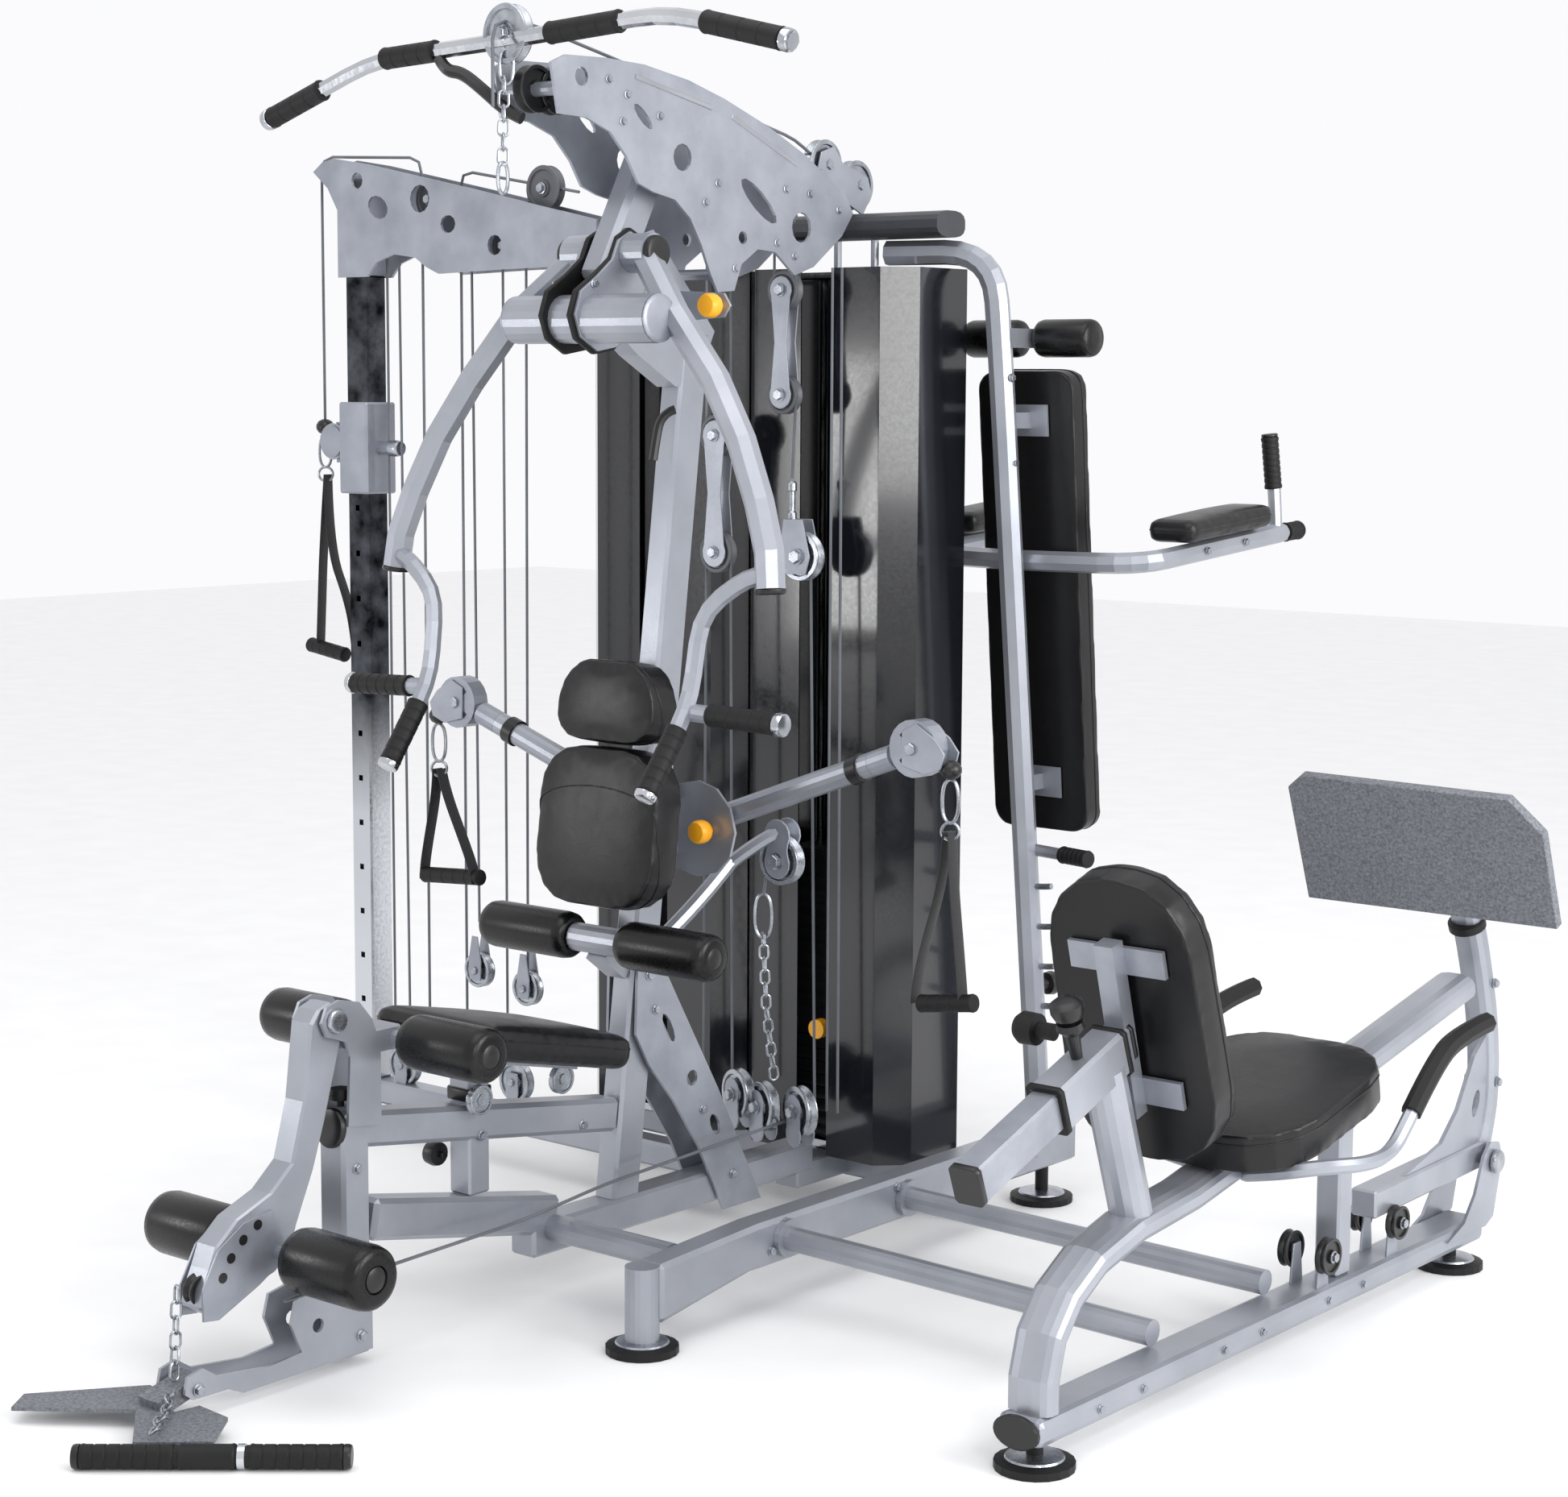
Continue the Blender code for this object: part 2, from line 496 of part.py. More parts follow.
STACK_WIDTH = 0.250
STACK_DEPTH = 0.110
ROD_SPREAD = 0.080
ROD_RADIUS = 0.0095
REST_TOP = 0.330
LIFT_TOP = 0.700
for side, middle in TOWER_X.items():
    folded_guard("guard_" + side, middle)
    frame = block((0.300, 0.130, 0.020), (middle, TOWER_Y, 0.1155 + FIT), 0.0, 0.003)
    frame = union(frame, block((STACK_WIDTH, STACK_DEPTH, REST_TOP - 0.120), (middle, TOWER_Y, (REST_TOP + 0.120) / 2)))
    for way in (-1, 1):
        frame = union(frame, rod((middle + way * ROD_SPREAD, TOWER_Y, 0.115),
                                 (middle + way * ROD_SPREAD, TOWER_Y, 1.816), ROD_RADIUS, 12))
        frame = union(frame, rod((middle + way * 0.045, TOWER_Y, 1.810),
                                 (middle + way * 0.045, TOWER_Y, 1.8795), 0.008, 10))
    frame = union(frame, block((0.260, 0.080, 0.014), (middle, TOWER_Y, 1.813), 0.0, 0.003))
    part("tower_frame_" + side, frame, CHROME, 0.25, 0.9)

    stack = block((STACK_WIDTH, STACK_DEPTH, LIFT_TOP - REST_TOP - 0.001),
                  (middle, TOWER_Y, (LIFT_TOP + REST_TOP + 0.001) / 2))
    for way in (-1, 1):
        stack = cut(stack, rod((middle + way * ROD_SPREAD, TOWER_Y, 0.2),
                               (middle + way * ROD_SPREAD, TOWER_Y, 1.0), ROD_RADIUS + 0.002, 12))
    stack = cut(stack, rod((middle, TOWER_Y - 0.080, 0.356), (middle, TOWER_Y + 0.020, 0.356), 0.0070, 12))
    stack = union(stack, rod((middle, TOWER_Y, LIFT_TOP - 0.01), (middle, TOWER_Y, LIFT_TOP + 0.055), 0.012, 12))
    part("weight_stack_" + side, stack, IRON, 0.5, 0.4, (middle, TOWER_Y, REST_TOP))

    pin = rod((middle, TOWER_Y + 0.010, 0.356), (middle, TOWER_Y - 0.092, 0.356), 0.006, 12)
    pin = union(pin, rod((middle, TOWER_Y - 0.088, 0.356), (middle, TOWER_Y - 0.108, 0.356), 0.019, 16))
    part("selector_pin_" + side, pin, AMBER, 0.35, 0.0, (middle, TOWER_Y - 0.055, 0.356))

# ---------------------------------------------------------------- press arms
ARM_FLAT = (0.036, 0.054)


def press_arm(name, way):
    """Oval arm: pivot boss, long bow outwards, thinner handle tube, two grips."""
    x = SEAT_X
    bow = [(x + way * 0.072, 0.300, 1.830), (x + way * 0.105, 0.287, 1.800), (x + way * 0.190, 0.250, 1.720),
           (x + way * 0.290, 0.240, 1.610), (x + way * 0.360, 0.225, 1.510), (x + way * 0.410, 0.212, 1.410),
           (x + way * 0.440, 0.202, 1.330), (x + way * 0.447, 0.197, 1.270)]
    ob = tube(bow, 0.026, 12)
    ob = union(ob, cross_rod(PRESS_PIVOT.y, PRESS_PIVOT.z, x + way * 0.045, x + way * 0.097, 0.034, 20))
    handle = rounded([(x + way * 0.447, 0.197, 1.295), (x + way * 0.400, 0.185, 1.285),
                      (x + way * 0.318, 0.172, 1.225), (x + way * 0.312, 0.150, 1.075),
                      (x + way * 0.309, 0.040, 0.925)], 0.050, 3)
    ob = union(ob, tube(handle, 0.0155, 12))
    ob = union(ob, rod((x + way * 0.318, 0.147, 1.060), (x + way * 0.510, 0.147, 1.054), 0.0155, 12))
    if way > 0:
        ob = union(ob, cross_rod(0.207, 1.715, x - 0.140, x + 0.190, 0.042, 20))
    else:
        ob = cut(ob, cross_rod(0.207, 1.715, x - 0.140 - FIT, x + 0.190, 0.042 + FIT, 20))
    ob = cut(ob, cross_rod(PRESS_PIVOT.y, PRESS_PIVOT.z, x + way * 0.030, x + way * 0.150, 0.0146, 16))
    return steel(name, ob, PRESS_PIVOT)


press_arm("press_arm_left", -1)
press_arm("press_arm_right", 1)

# ---------------------------------------------------------------- lat bar
lat = rounded([(-0.955, 0.045, 2.070), (-0.665, 0.045, 2.160), (-0.340, 0.045, 2.172), (0.015, 0.045, 2.190),
               (0.275, 0.045, 2.128)], 0.070, 3)
lat = tube(lat, 0.014, 12)
part("lat_bar", lat, CHROME, 0.2, 1.0, (SEAT_X, 0.045, 2.172))

# ---------------------------------------------------------------- pads and rollers of the chest station
seat_pad = block((0.300, 0.365, 0.066), (SEAT_X, 0.020, 0.4815), -SEAT_TILT, 0.024, 2)
part("seat_pad", seat_pad, LEATHER, 0.55, 0.0)
back_pad = pad((0.290, 0.074, 0.290), (SEAT_X, 0.283, 0.820), -UPRIGHT_LEAN, 0.090, 0.022)
part("back_pad", back_pad, LEATHER, 0.55, 0.0)
head_pad = pad((0.260, 0.074, 0.150), (SEAT_X, 0.309, 1.0425), -UPRIGHT_LEAN, 0.070, 0.022, 0.80)
part("head_pad", head_pad, LEATHER, 0.55, 0.0)


def roller(name, way, y, z, x_inner, x_outer, radius, bore):
    start = (SEAT_X + way * x_inner, y, z)
    end = (SEAT_X + way * x_outer, y, z)
    length = x_outer - x_inner
    ob = turned([(0.0, length), (radius * 0.80, length), (radius, length - 0.012), (radius, 0.010),
                 (radius * 0.9, 0.0), (bore, 0.0), (bore, length - 0.020), (0.0, length - 0.020)],
                start, end, 20)
    return part(name, ob, RUBBER, 0.65, 0.0, (SEAT_X, y, z))


for way, side in ((-1, "left"), (1, "right")):
    roller("thigh_roller_" + side, way, THIGH_ROLLERS[0], THIGH_ROLLERS[1], 0.062, 0.272, 0.043, BORE)
    roller("knee_roller_" + side, way, KNEE_ROLLERS[0], KNEE_ROLLERS[1], 0.075, 0.260, 0.046, BORE)
    roller("shin_roller_" + side, way, SHIN_ROLLERS[0], SHIN_ROLLERS[1], 0.075, 0.256, 0.053, BORE)

holder = cross_rod(THIGH_ROLLERS[0], THIGH_ROLLERS[1], SEAT_X - 0.250, SEAT_X + 0.250, AXLE, 12)
holder = union(holder, cross_rod(THIGH_ROLLERS[0], THIGH_ROLLERS[1], SEAT_X - 0.058, SEAT_X + 0.058, 0.026, 16))
holder = union(holder, bar((SEAT_X, 0.262, 0.600), (SEAT_X, 0.3155, 0.560), 0.046, 0.040, 0.0))
holder = cut(holder, bar((SEAT_X, 0.304, 0.130), tuple(upright_top), 0.052, 0.0706, 0.0))
steel("thigh_roller_holder", holder)

LEVER = [(-0.440, 0.585), (-0.425, 0.604), (-0.396, 0.614), (-0.370, 0.600), (-0.372, 0.558), (-0.392, 0.488),
         (-0.412, 0.419), (-0.437, 0.345), (-0.474, 0.262), (-0.490, 0.215), (-0.520, 0.195), (-0.574, 0.178),
         (-0.643, 0.149), (-0.676, 0.170), (-0.668, 0.198), (-0.654, 0.228), (-0.640, 0.262), (-0.599, 0.297),
         (-0.529, 0.325), (-0.483, 0.365), (-0.456, 0.460)]
lever = plate(LEVER, 0.050, "X", SEAT_X)
lever = bevelled(lever, 0.004)
for y, z in ((-0.560, 0.282), (-0.596, 0.260), (-0.625, 0.222)):
    lever = cut(lever, cross_rod(y, z, SEAT_X - 0.1, SEAT_X + 0.1, 0.009, 10))
lever = union(lever, cross_rod(SHIN_ROLLERS[0], SHIN_ROLLERS[1], SEAT_X - 0.234, SEAT_X + 0.234, AXLE, 12))
lever = union(lever, cross_rod(LEG_LEVER_PIVOT.y, LEG_LEVER_PIVOT.z, SEAT_X - 0.0355, SEAT_X + 0.0355, 0.010, 12))
steel("leg_lever", lever, LEG_LEVER_PIVOT)


# ---------------------------------------------------------------- swing arms
def mirrored(spot, way):
    """A point given by its distance from the seat mid plane, on the left (-1) or right (1)."""
    return Vector((SEAT_X + way * spot.x, spot.y, spot.z))


def swing_arm(name, way):
    """Boss on its own pin behind the index disc, inclined arm tube reaching out to a swivel head."""
    x = SEAT_X + way * SWING_PIVOT.x
    z = SWING_PIVOT.z
    ob = rod((x, 0.4545, z), (x, 0.5045, z), 0.036, 20)
    ob = union(ob, rod(mirrored(SWING_ROOT, way), mirrored(SWING_TIP, way), 0.022, 16))
    ob = cut(ob, rod((x, 0.440, z), (x, 0.530, z), 0.0130, 16))
    return steel(name, ob, (x, SWING_PIVOT.y, z))


def swivel_head(name, way):
    """Pulley housing on the arm end; it turns about the arm's own line."""
    start = mirrored(SWING_TIP, way)
    line = (start - mirrored(SWING_ROOT, way)).normalized()
    tip = start + line * (0.0006)
    ob = rod(tip, start + line * 0.050, 0.022, 16)
    middle = start + line * 0.105
    ob = union(ob, rod(middle + Vector((0, -0.018, 0)), middle + Vector((0, 0.018, 0)), 0.050, 20))
    ob = union(ob, rod(start + line * 0.045, middle, 0.016, 12))
    return part(name, ob, PLATE_SILVER, 0.35, 0.7, start)


for way, side in ((-1, "left"), (1, "right")):
    swing_arm("swing_arm_" + side, way)
    swivel_head("swivel_head_" + side, way)

# ---------------------------------------------------------------- knee raise
arms = tube(rounded([(KNEE_X - 0.270, 1.640, 1.318), (KNEE_X - 0.270, 1.131, 1.276), (KNEE_X, 1.131, 1.272),
                     (KNEE_X + 0.270, 1.131, 1.276), (KNEE_X + 0.270, 1.640, 1.318)], 0.090, 5), 0.020, 12)
for way in (-1, 1):
    arms = union(arms, tube(rounded([(KNEE_X + way * 0.270, 1.620, 1.316), (KNEE_X + way * 0.262, 1.622, 1.420),
                                     (KNEE_X + way * 0.255, 1.612, 1.512)], 0.05, 2), 0.013, 12))
    arms = union(arms, rod((KNEE_X + way * 0.270, 1.630, 1.317), (KNEE_X + way * 0.270, 1.712, 1.321), 0.014, 12))
steel("knee_raise_arms", arms)
for way, side in ((-1, "left"), (1, "right")):
    arm_pad = block((0.110, 0.310, 0.050), (KNEE_X + way * 0.255, 1.400, 1.3440), math.radians(4.7), 0.018, 2)
    part("arm_pad_" + side, arm_pad, LEATHER, 0.55, 0.0)
knee_back = pad((0.226, 0.055, 0.900), (KNEE_X, 1.1905, 1.190), KNEE_TILT, 0.040, 0.016)
part("knee_back_pad", knee_back, LEATHER, 0.55, 0.0)
knee_roller = turned([(0.0, 0.290), (0.030, 0.290), (0.036, 0.282), (0.036, 0.173), (0.030, 0.165), (0.012, 0.165),
                      (0.012, 0.125), (0.030, 0.125), (0.036, 0.117), (0.036, 0.008), (0.030, 0.0), (0.0, 0.0)],
                     (KNEE_X - 0.145, 1.150, 1.695), (KNEE_X + 0.145, 1.150, 1.695), 20)
part("knee_head_roller", knee_roller, RUBBER, 0.65, 0.0, (KNEE_X, 1.150, 1.695))

# ---------------------------------------------------------------- leg press
spine = [(LEG_X, -0.020, 0.0903), (LEG_X, -0.020, 0.140), (LEG_X, -0.002, 0.200), (LEG_X, 0.040, 0.250),
         (LEG_X, 0.110, 0.290), (LEG_X, 0.220, 0.318), (LEG_X, 0.380, 0.334), (LEG_X, 0.620, 0.378),
         (LEG_X, 0.940, 0.452), (LEG_X, 1.310, 0.527)]
frame = tube(spine, 0.0, 16, (0.080, 0.050))
frame = union(frame, rod((LEG_X, 0.245, 0.315), (LEG_X, 0.150, 0.580), 0.034, 16))
SLIDE_DIR = Vector((0.0, math.cos(SLIDE_TILT), math.sin(SLIDE_TILT)))
SLEEVE_MID = Vector((LEG_X, 0.092, 0.574))
SLEEVE_HALF = 0.095
sleeve_low = SLEEVE_MID - SLIDE_DIR * SLEEVE_HALF
sleeve_high = SLEEVE_MID + SLIDE_DIR * SLEEVE_HALF
frame = union(frame, bar(tuple(sleeve_low), tuple(sleeve_high), 0.060, 0.074, 0.006))
frame = cut(frame, bar(tuple(sleeve_low - SLIDE_DIR * 0.2), tuple(sleeve_high + SLIDE_DIR * 0.2), 0.0492, 0.0612, 0.0))
frame = union(frame, block((0.046, 0.046, 0.340), (LEG_X, 0.880, 0.2603), 0.0, 0.004))
for y in (0.480, 0.740):
    z = 0.446 + (y - 0.607) * math.tan(math.radians(12.0)) - 0.035 / math.cos(math.radians(12.0))
    frame = union(frame, block((0.160, 0.040, 0.012), (LEG_X, y, z - 0.0066), math.radians(12.0)))
steel("leg_press_frame", frame)

slide_low = SLEEVE_MID - SLIDE_DIR * 0.300
slide_high = SLEEVE_MID + SLIDE_DIR * 0.112
slide = bar(tuple(slide_low), tuple(slide_high), 0.048, 0.060, 0.004)
LEAN = math.radians(16.0)
BACK = Vector((LEG_X, 0.197, 0.632))
BACK_OUT = Vector((0.0, math.cos(LEAN), math.sin(LEAN)))
BACK_UP = Vector((0.0, -math.sin(LEAN), math.cos(LEAN)))
slide = union(slide, block((0.034, 0.030, 0.290), BACK, LEAN, 0.0))
for along in (0.110, -0.110):
    slide = union(slide, block((0.170, 0.008, 0.045), BACK + BACK_OUT * 0.0188 + BACK_UP * along, LEAN, 0.0))
part("leg_back_slide", slide, PLATE_SILVER, 0.4, 0.7, SLEEVE_MID)
leg_back = pad((0.285, 0.070, 0.480), BACK + BACK_OUT * (0.0578 + FIT), LEAN, 0.120, 0.022, 0.90)
part("leg_back_pad", leg_back, LEATHER, 0.55, 0.0)
leg_seat = pad((0.340, 0.070, 0.410), (LEG_X, 0.607, 0.446), math.radians(12.0 - 90.0), 0.120, 0.022)
part("leg_seat_pad", leg_seat, LEATHER, 0.55, 0.0)

lever_path = rounded([(LEG_X, 1.400, 0.190), (LEG_X, 1.440, 0.300), (LEG_X, 1.425, 0.450),
                      (LEG_X, 1.365, 0.620), (LEG_X, 1.300, 0.740)], 0.080, 3)
press = tube(lever_path, 0.0, 12, (0.056, 0.050))
press = union(press, bar((LEG_X, 1.405, 0.200), (LEG_X, 0.985, 0.190), 0.050, 0.050, 0.004))
WEB = [(1.020, 0.200), (1.200, 0.205), (1.400, 0.210), (1.425, 0.330), (1.415, 0.430), (1.360, 0.390),
       (1.300, 0.300), (1.240, 0.250)]
press = union(press, plate(WEB, 0.008, "X", LEG_X + 0.015, [circle(1.370, 0.300, 0.013, 10, 2.0, math.radians(70))]))
press = union(press, cross_rod(1.400, 0.190, LEG_X - 0.0470, LEG_X + 0.0470, 0.010, 12))
TREAD_TILT = math.radians(22.0)
press = union(press, bar((LEG_X, 1.310, 0.725), (LEG_X, 1.165, 0.775), 0.050, 0.040, 0.0))
tread = plate([(-0.235, -0.125), (0.245, -0.125), (0.245, 0.055), (0.190, 0.118), (-0.205, 0.125), (-0.235, 0.100)],
              0.012, "Y", 0.0)
tread.data.transform(Matrix.Translation((LEG_X, 1.150, 0.800)) @ Matrix.Rotation(TREAD_TILT, 4, "X"))
press = union(press, tread)
steel("leg_press_lever", press, LEG_PRESS_PIVOT)

knob = turned([(0.0, 0.062), (0.021, 0.062), (0.023, 0.052), (0.012, 0.040), (0.009, 0.0), (0.0, 0.0)],
              SLEEVE_MID + Vector((0, -math.sin(SLIDE_TILT), math.cos(SLIDE_TILT))) * (0.037 + FIT),
              SLEEVE_MID + Vector((0, -math.sin(SLIDE_TILT), math.cos(SLIDE_TILT))) * 1.0, 16)
part("leg_back_knob", knob, BLACK, 0.4, 0.0, SLEEVE_MID)

# ---------------------------------------------------------------- low row
foot_plate = plate([(-0.541, -0.843), (-0.505, -0.893), (-0.350, -0.775), (-0.240, -0.868), (-0.150, -0.788),
                    (-0.215, -0.706), (-0.290, -0.700), (-0.296, -0.742), (-0.384, -0.742), (-0.390, -0.694),
                    (-0.424, -0.690)], 0.006, "Z", 0.026)
foot_plate = union(foot_plate, bar((SEAT_X, -0.672, 0.054), (SEAT_X, -0.756, 0.030), 0.050, 0.026, 0.0))
foot_plate = cut(foot_plate, cross_rod(-0.690, 0.048, SEAT_X - 0.05, SEAT_X + 0.05, 0.0084, 12))
part("row_foot_plate", foot_plate, GREY_PLATE, 0.6, 0.6, (SEAT_X, -0.690, 0.048))

row_bar = rod((-0.281, -0.945, 0.0190), (0.033, -0.679, 0.0190), 0.017, 16)
part("row_bar", row_bar, RUBBER, 0.6, 0.0)


# ---------------------------------------------------------------- steel cables
def cable(name, points, corner=0.030):
    return part(name, tube(rounded(points, corner, 2), 0.003, 8), CABLE, 0.5, 0.3)


cable("cable_column", [(COLUMN_X - 0.131, COLUMN_Y, SLEEVE_Z + 0.020), (COLUMN_X - 0.131, COLUMN_Y, 2.075),
                       (-1.240, COLUMN_Y, 2.060), (-1.240, COLUMN_Y, 0.180), (-1.128, COLUMN_Y, 0.180),
                       (-1.128, COLUMN_Y, 2.030), (-0.800, COLUMN_Y, 1.975)], 0.035)
cable("cable_low", [(SEAT_X + 0.090, -0.560, 0.170), (SEAT_X + 0.062, 0.000, 0.1720), (SEAT_X + 0.055, 0.215, 0.190),
                    (SEAT_X + 0.060, 0.760, 0.2120)], 0.05)
cable("cable_high", [(SEAT_X, 0.008, 2.060), (SEAT_X, 0.008, 2.200), (SEAT_X, 0.090, 2.205), (SEAT_X, 0.300, 2.165),
                     (SEAT_X, 0.800, 2.060), (SEAT_X, 0.935, 1.990)], 0.030)
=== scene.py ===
"""Multi station home gym: the looks of the frame, its upholstery, grips, pulleys and tackle.

Metres, +Z up.  The press user faces -Y; the knee-raise and leg-press users face +Y.
"""
import math

import bpy
from mathutils import Matrix, Vector


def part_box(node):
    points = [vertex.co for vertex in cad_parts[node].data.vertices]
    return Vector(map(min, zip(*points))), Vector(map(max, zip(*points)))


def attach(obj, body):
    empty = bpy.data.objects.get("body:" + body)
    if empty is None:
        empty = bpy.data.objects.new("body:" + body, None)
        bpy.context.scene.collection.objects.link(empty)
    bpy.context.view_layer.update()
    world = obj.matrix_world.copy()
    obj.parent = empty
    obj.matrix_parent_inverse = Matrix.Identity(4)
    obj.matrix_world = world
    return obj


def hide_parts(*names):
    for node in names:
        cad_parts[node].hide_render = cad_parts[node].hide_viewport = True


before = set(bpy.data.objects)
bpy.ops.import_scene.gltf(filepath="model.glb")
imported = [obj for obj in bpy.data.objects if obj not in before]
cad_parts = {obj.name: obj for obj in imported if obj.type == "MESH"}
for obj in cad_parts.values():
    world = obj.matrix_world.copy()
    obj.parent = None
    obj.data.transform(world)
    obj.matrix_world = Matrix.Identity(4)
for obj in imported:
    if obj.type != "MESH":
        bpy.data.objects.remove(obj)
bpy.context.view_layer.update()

# ------------------------------------------------------------------ welded tube frame
# Mild-steel box and round tube, welded and bolted.  It is blasted, then sprayed with a
# silver metallic powder that bakes to a satin skin with a faint orange-peel texture.
SILVER_PEEL_MM = 2.2          # orange peel of a baked powder coat


def linear(colour):
    """The linear values a shader takes, from an sRGB hex colour."""
    values = [int(colour[i:i + 2], 16) / 255 for i in (1, 3, 5)]
    return [v / 12.92 if v <= 0.04045 else ((v + 0.055) / 1.055) ** 2.4 for v in values] + [1.0]


def add(tree, kind, settings, links):
    """Adds a node of this kind with its settings, and links its inputs."""
    node = tree.nodes.new(kind)
    for key, value in settings.items():
        if isinstance(key, int) or key in node.inputs:
            node.inputs[key].default_value = value
        else:
            setattr(node, key, value)
    for key, source in links.items():
        tree.links.new(node.inputs[key], source)
    return node


def worked_finish(name, shades, roughness, metallic, grain_mm, relief, spread=0.05, drift_mm=160,
                  coat=0.0, stretch=(1.0, 1.0, 1.0), shine=0.5):
    """A finish whose colour drifts slowly over the part while a fine grain breaks up its gloss."""
    mat = bpy.data.materials.new(name)
    mat.use_nodes = True
    tree = mat.node_tree
    shader = tree.nodes["Principled BSDF"]
    shader.inputs["Metallic"].default_value = metallic
    shader.inputs["Coat Weight"].default_value = coat
    shader.inputs["Coat Roughness"].default_value = 0.08
    shader.inputs["Specular IOR Level"].default_value = shine
    place = add(tree, "ShaderNodeTexCoord", {}, {}).outputs["Object"]
    run = add(tree, "ShaderNodeMapping", {"Scale": stretch}, {"Vector": place}).outputs["Vector"]
    drift = add(tree, "ShaderNodeTexNoise", {"Scale": 1000 / drift_mm, "Detail": 4.0}, {"Vector": place})
    grain = add(tree, "ShaderNodeTexNoise", {"Scale": 1000 / grain_mm, "Detail": 2.0}, {"Vector": run})
    patch = add(tree, "ShaderNodeMapRange", {"From Min": 0.3, "From Max": 0.7}, {"Value": drift.outputs["Fac"]})
    colour = add(tree, "ShaderNodeMix", {"data_type": "RGBA", 6: linear(shades[0]), 7: linear(shades[1])},
                 {0: patch.outputs["Result"]})
    gloss = add(tree, "ShaderNodeMapRange",
                {"From Min": 0.3, "From Max": 0.7, "To Min": roughness - spread, "To Max": roughness + spread},
                {"Value": grain.outputs["Fac"]})
    skin = add(tree, "ShaderNodeBump", {"Strength": relief, "Distance": 0.001}, {"Height": grain.outputs["Fac"]})
    tree.links.new(shader.inputs["Base Color"], colour.outputs[2])
    tree.links.new(shader.inputs["Roughness"], gloss.outputs["Result"])
    tree.links.new(shader.inputs["Normal"], skin.outputs["Normal"])
    return mat


def finish_nodes(material, *names):
    """Gives carried-over CAD nodes their real finish."""
    for node in names:
        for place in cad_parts[node].material_slots:
            place.material = material


powder_silver = worked_finish("silver_powder_coat", ("#9498a0", "#a6a9b1"), 0.34, 0.62,
                              SILVER_PEEL_MM, 0.10)
finish_nodes(powder_silver, "base_rail_right", "base_centre_frame", "base_rail_leg_press", "link_tube_front",
             "link_tube_rear", "seat_frame", "main_upright", "rear_upright", "thigh_roller_holder",
             "leg_press_frame", "press_arm_left", "press_arm_right", "leg_lever", "knee_raise_arms",
             "leg_press_lever", "swing_arm_left", "swing_arm_right")

# ------------------------------------------------------------------ laser-cut plates
# The boom, the column arm, the gussets and the sliding parts are 6 mm plate, cut by laser
# and coated with the same silver, a shade greyer and rougher because the plate is rolled.
plate_silver = worked_finish("silver_coated_rolled_plate", ("#8b8f98", "#a1a5ae"), 0.38, 0.60,
                             3.2, 0.16, drift_mm=90)
finish_nodes(plate_silver, "boom_plates", "column_arm_plates", "gusset_plates", "leg_back_slide",
             "column_carriage", "swivel_head_left", "swivel_head_right")

# ------------------------------------------------------------------ chromed tube
# The cable column, the guide rods and the lat bar are polished steel with hard chrome, so
# they mirror the room; polishing marks run along them.
chrome = worked_finish("hard_chrome", ("#a4a7ad", "#cfd1d5"), 0.15, 1.0, 5.0, 0.02, 0.04, 300,
                       0.0, (1, 1, 0.05))
finish_nodes(chrome, "tower_frame_left", "tower_frame_right", "lat_bar")
# The column tube's chrome gets a painted reflection: a near-black colour on its upper part stands in for a dark
# surround mirrored there, and it blends to a bright chrome colour lower down.
chrome_painted_reflection = worked_finish("hard_chrome_painted_dark_reflection", ("#0d0e10", "#56595f"), 0.17, 1.0, 7.0,
                       0.06, 0.06, 45)
tree = chrome_painted_reflection.node_tree
height = add(tree, "ShaderNodeSeparateXYZ", {},
             {"Vector": add(tree, "ShaderNodeTexCoord", {}, {}).outputs["Object"]})
# Height mask of the painted reflection: painted dark above 0.95 m, bright chrome colour below 0.70 m.
painted_reflection_by_height = add(tree, "ShaderNodeMapRange", {"From Min": 0.95, "From Max": 0.70, "To Min": 0.0, "To Max": 0.9},
           {"Value": height.outputs["Z"]})
bright = add(tree, "ShaderNodeMix", {"data_type": "RGBA", 7: linear("#d3d6db")},
             {0: painted_reflection_by_height.outputs["Result"],
              6: tree.nodes["Principled BSDF"].inputs["Base Color"].links[0].from_socket})
tree.links.new(tree.nodes["Principled BSDF"].inputs["Base Color"], bright.outputs[2])
finish_nodes(chrome_painted_reflection, "column_tube")

# ------------------------------------------------------------------ weight tower guards
# Each guard is one folded steel sheet round a weight stack, in gloss black enamel.
enamel = worked_finish("gloss_black_enamel", ("#0a0b0f", "#101218"), 0.17, 0.0, 6.0, 0.03, 0.04,
                       400, 0.5)
finish_nodes(enamel, "guard_left", "guard_right")
cast_black = worked_finish("black_painted_steel", ("#3a3b3f", "#505156"), 0.42, 0.4, 1.6, 0.2)
finish_nodes(cast_black, "tower_top_beam")

# ------------------------------------------------------------------ rubber feet, knobs and cables
# Levelling feet are moulded rubber, knobs are moulded nylon, cables are steel wire in a grey
# nylon jacket; each keeps a faint mould or extrusion grain.
rubber = worked_finish("moulded_black_rubber", ("#070708", "#0f0f10"), 0.55, 0.0, 1.4, 0.3, 0.1,
                       shine=0.35)
black_nylon = worked_finish("black_nylon", ("#0c0c0d", "#141415"), 0.34, 0.0, 1.2, 0.12)
amber_nylon = worked_finish("amber_nylon", ("#e39a10", "#f2ae22"), 0.34, 0.0, 1.2, 0.1)
jacket = worked_finish("grey_nylon_cable_jacket", ("#54575d", "#6b6e75"), 0.4, 0.1, 2.0, 0.1)
zinc = worked_finish("bright_zinc", ("#8e9299", "#b6bac0"), 0.26, 0.95, 1.6, 0.15, 0.08, 25)
finish_nodes(rubber, "foot_front", "foot_rear", "foot_leg_front", "foot_leg_rear")
finish_nodes(black_nylon, "leg_back_knob")
finish_nodes(amber_nylon, "selector_pin_left", "selector_pin_right")
finish_nodes(jacket, "cable_column", "cable_high", "cable_low")

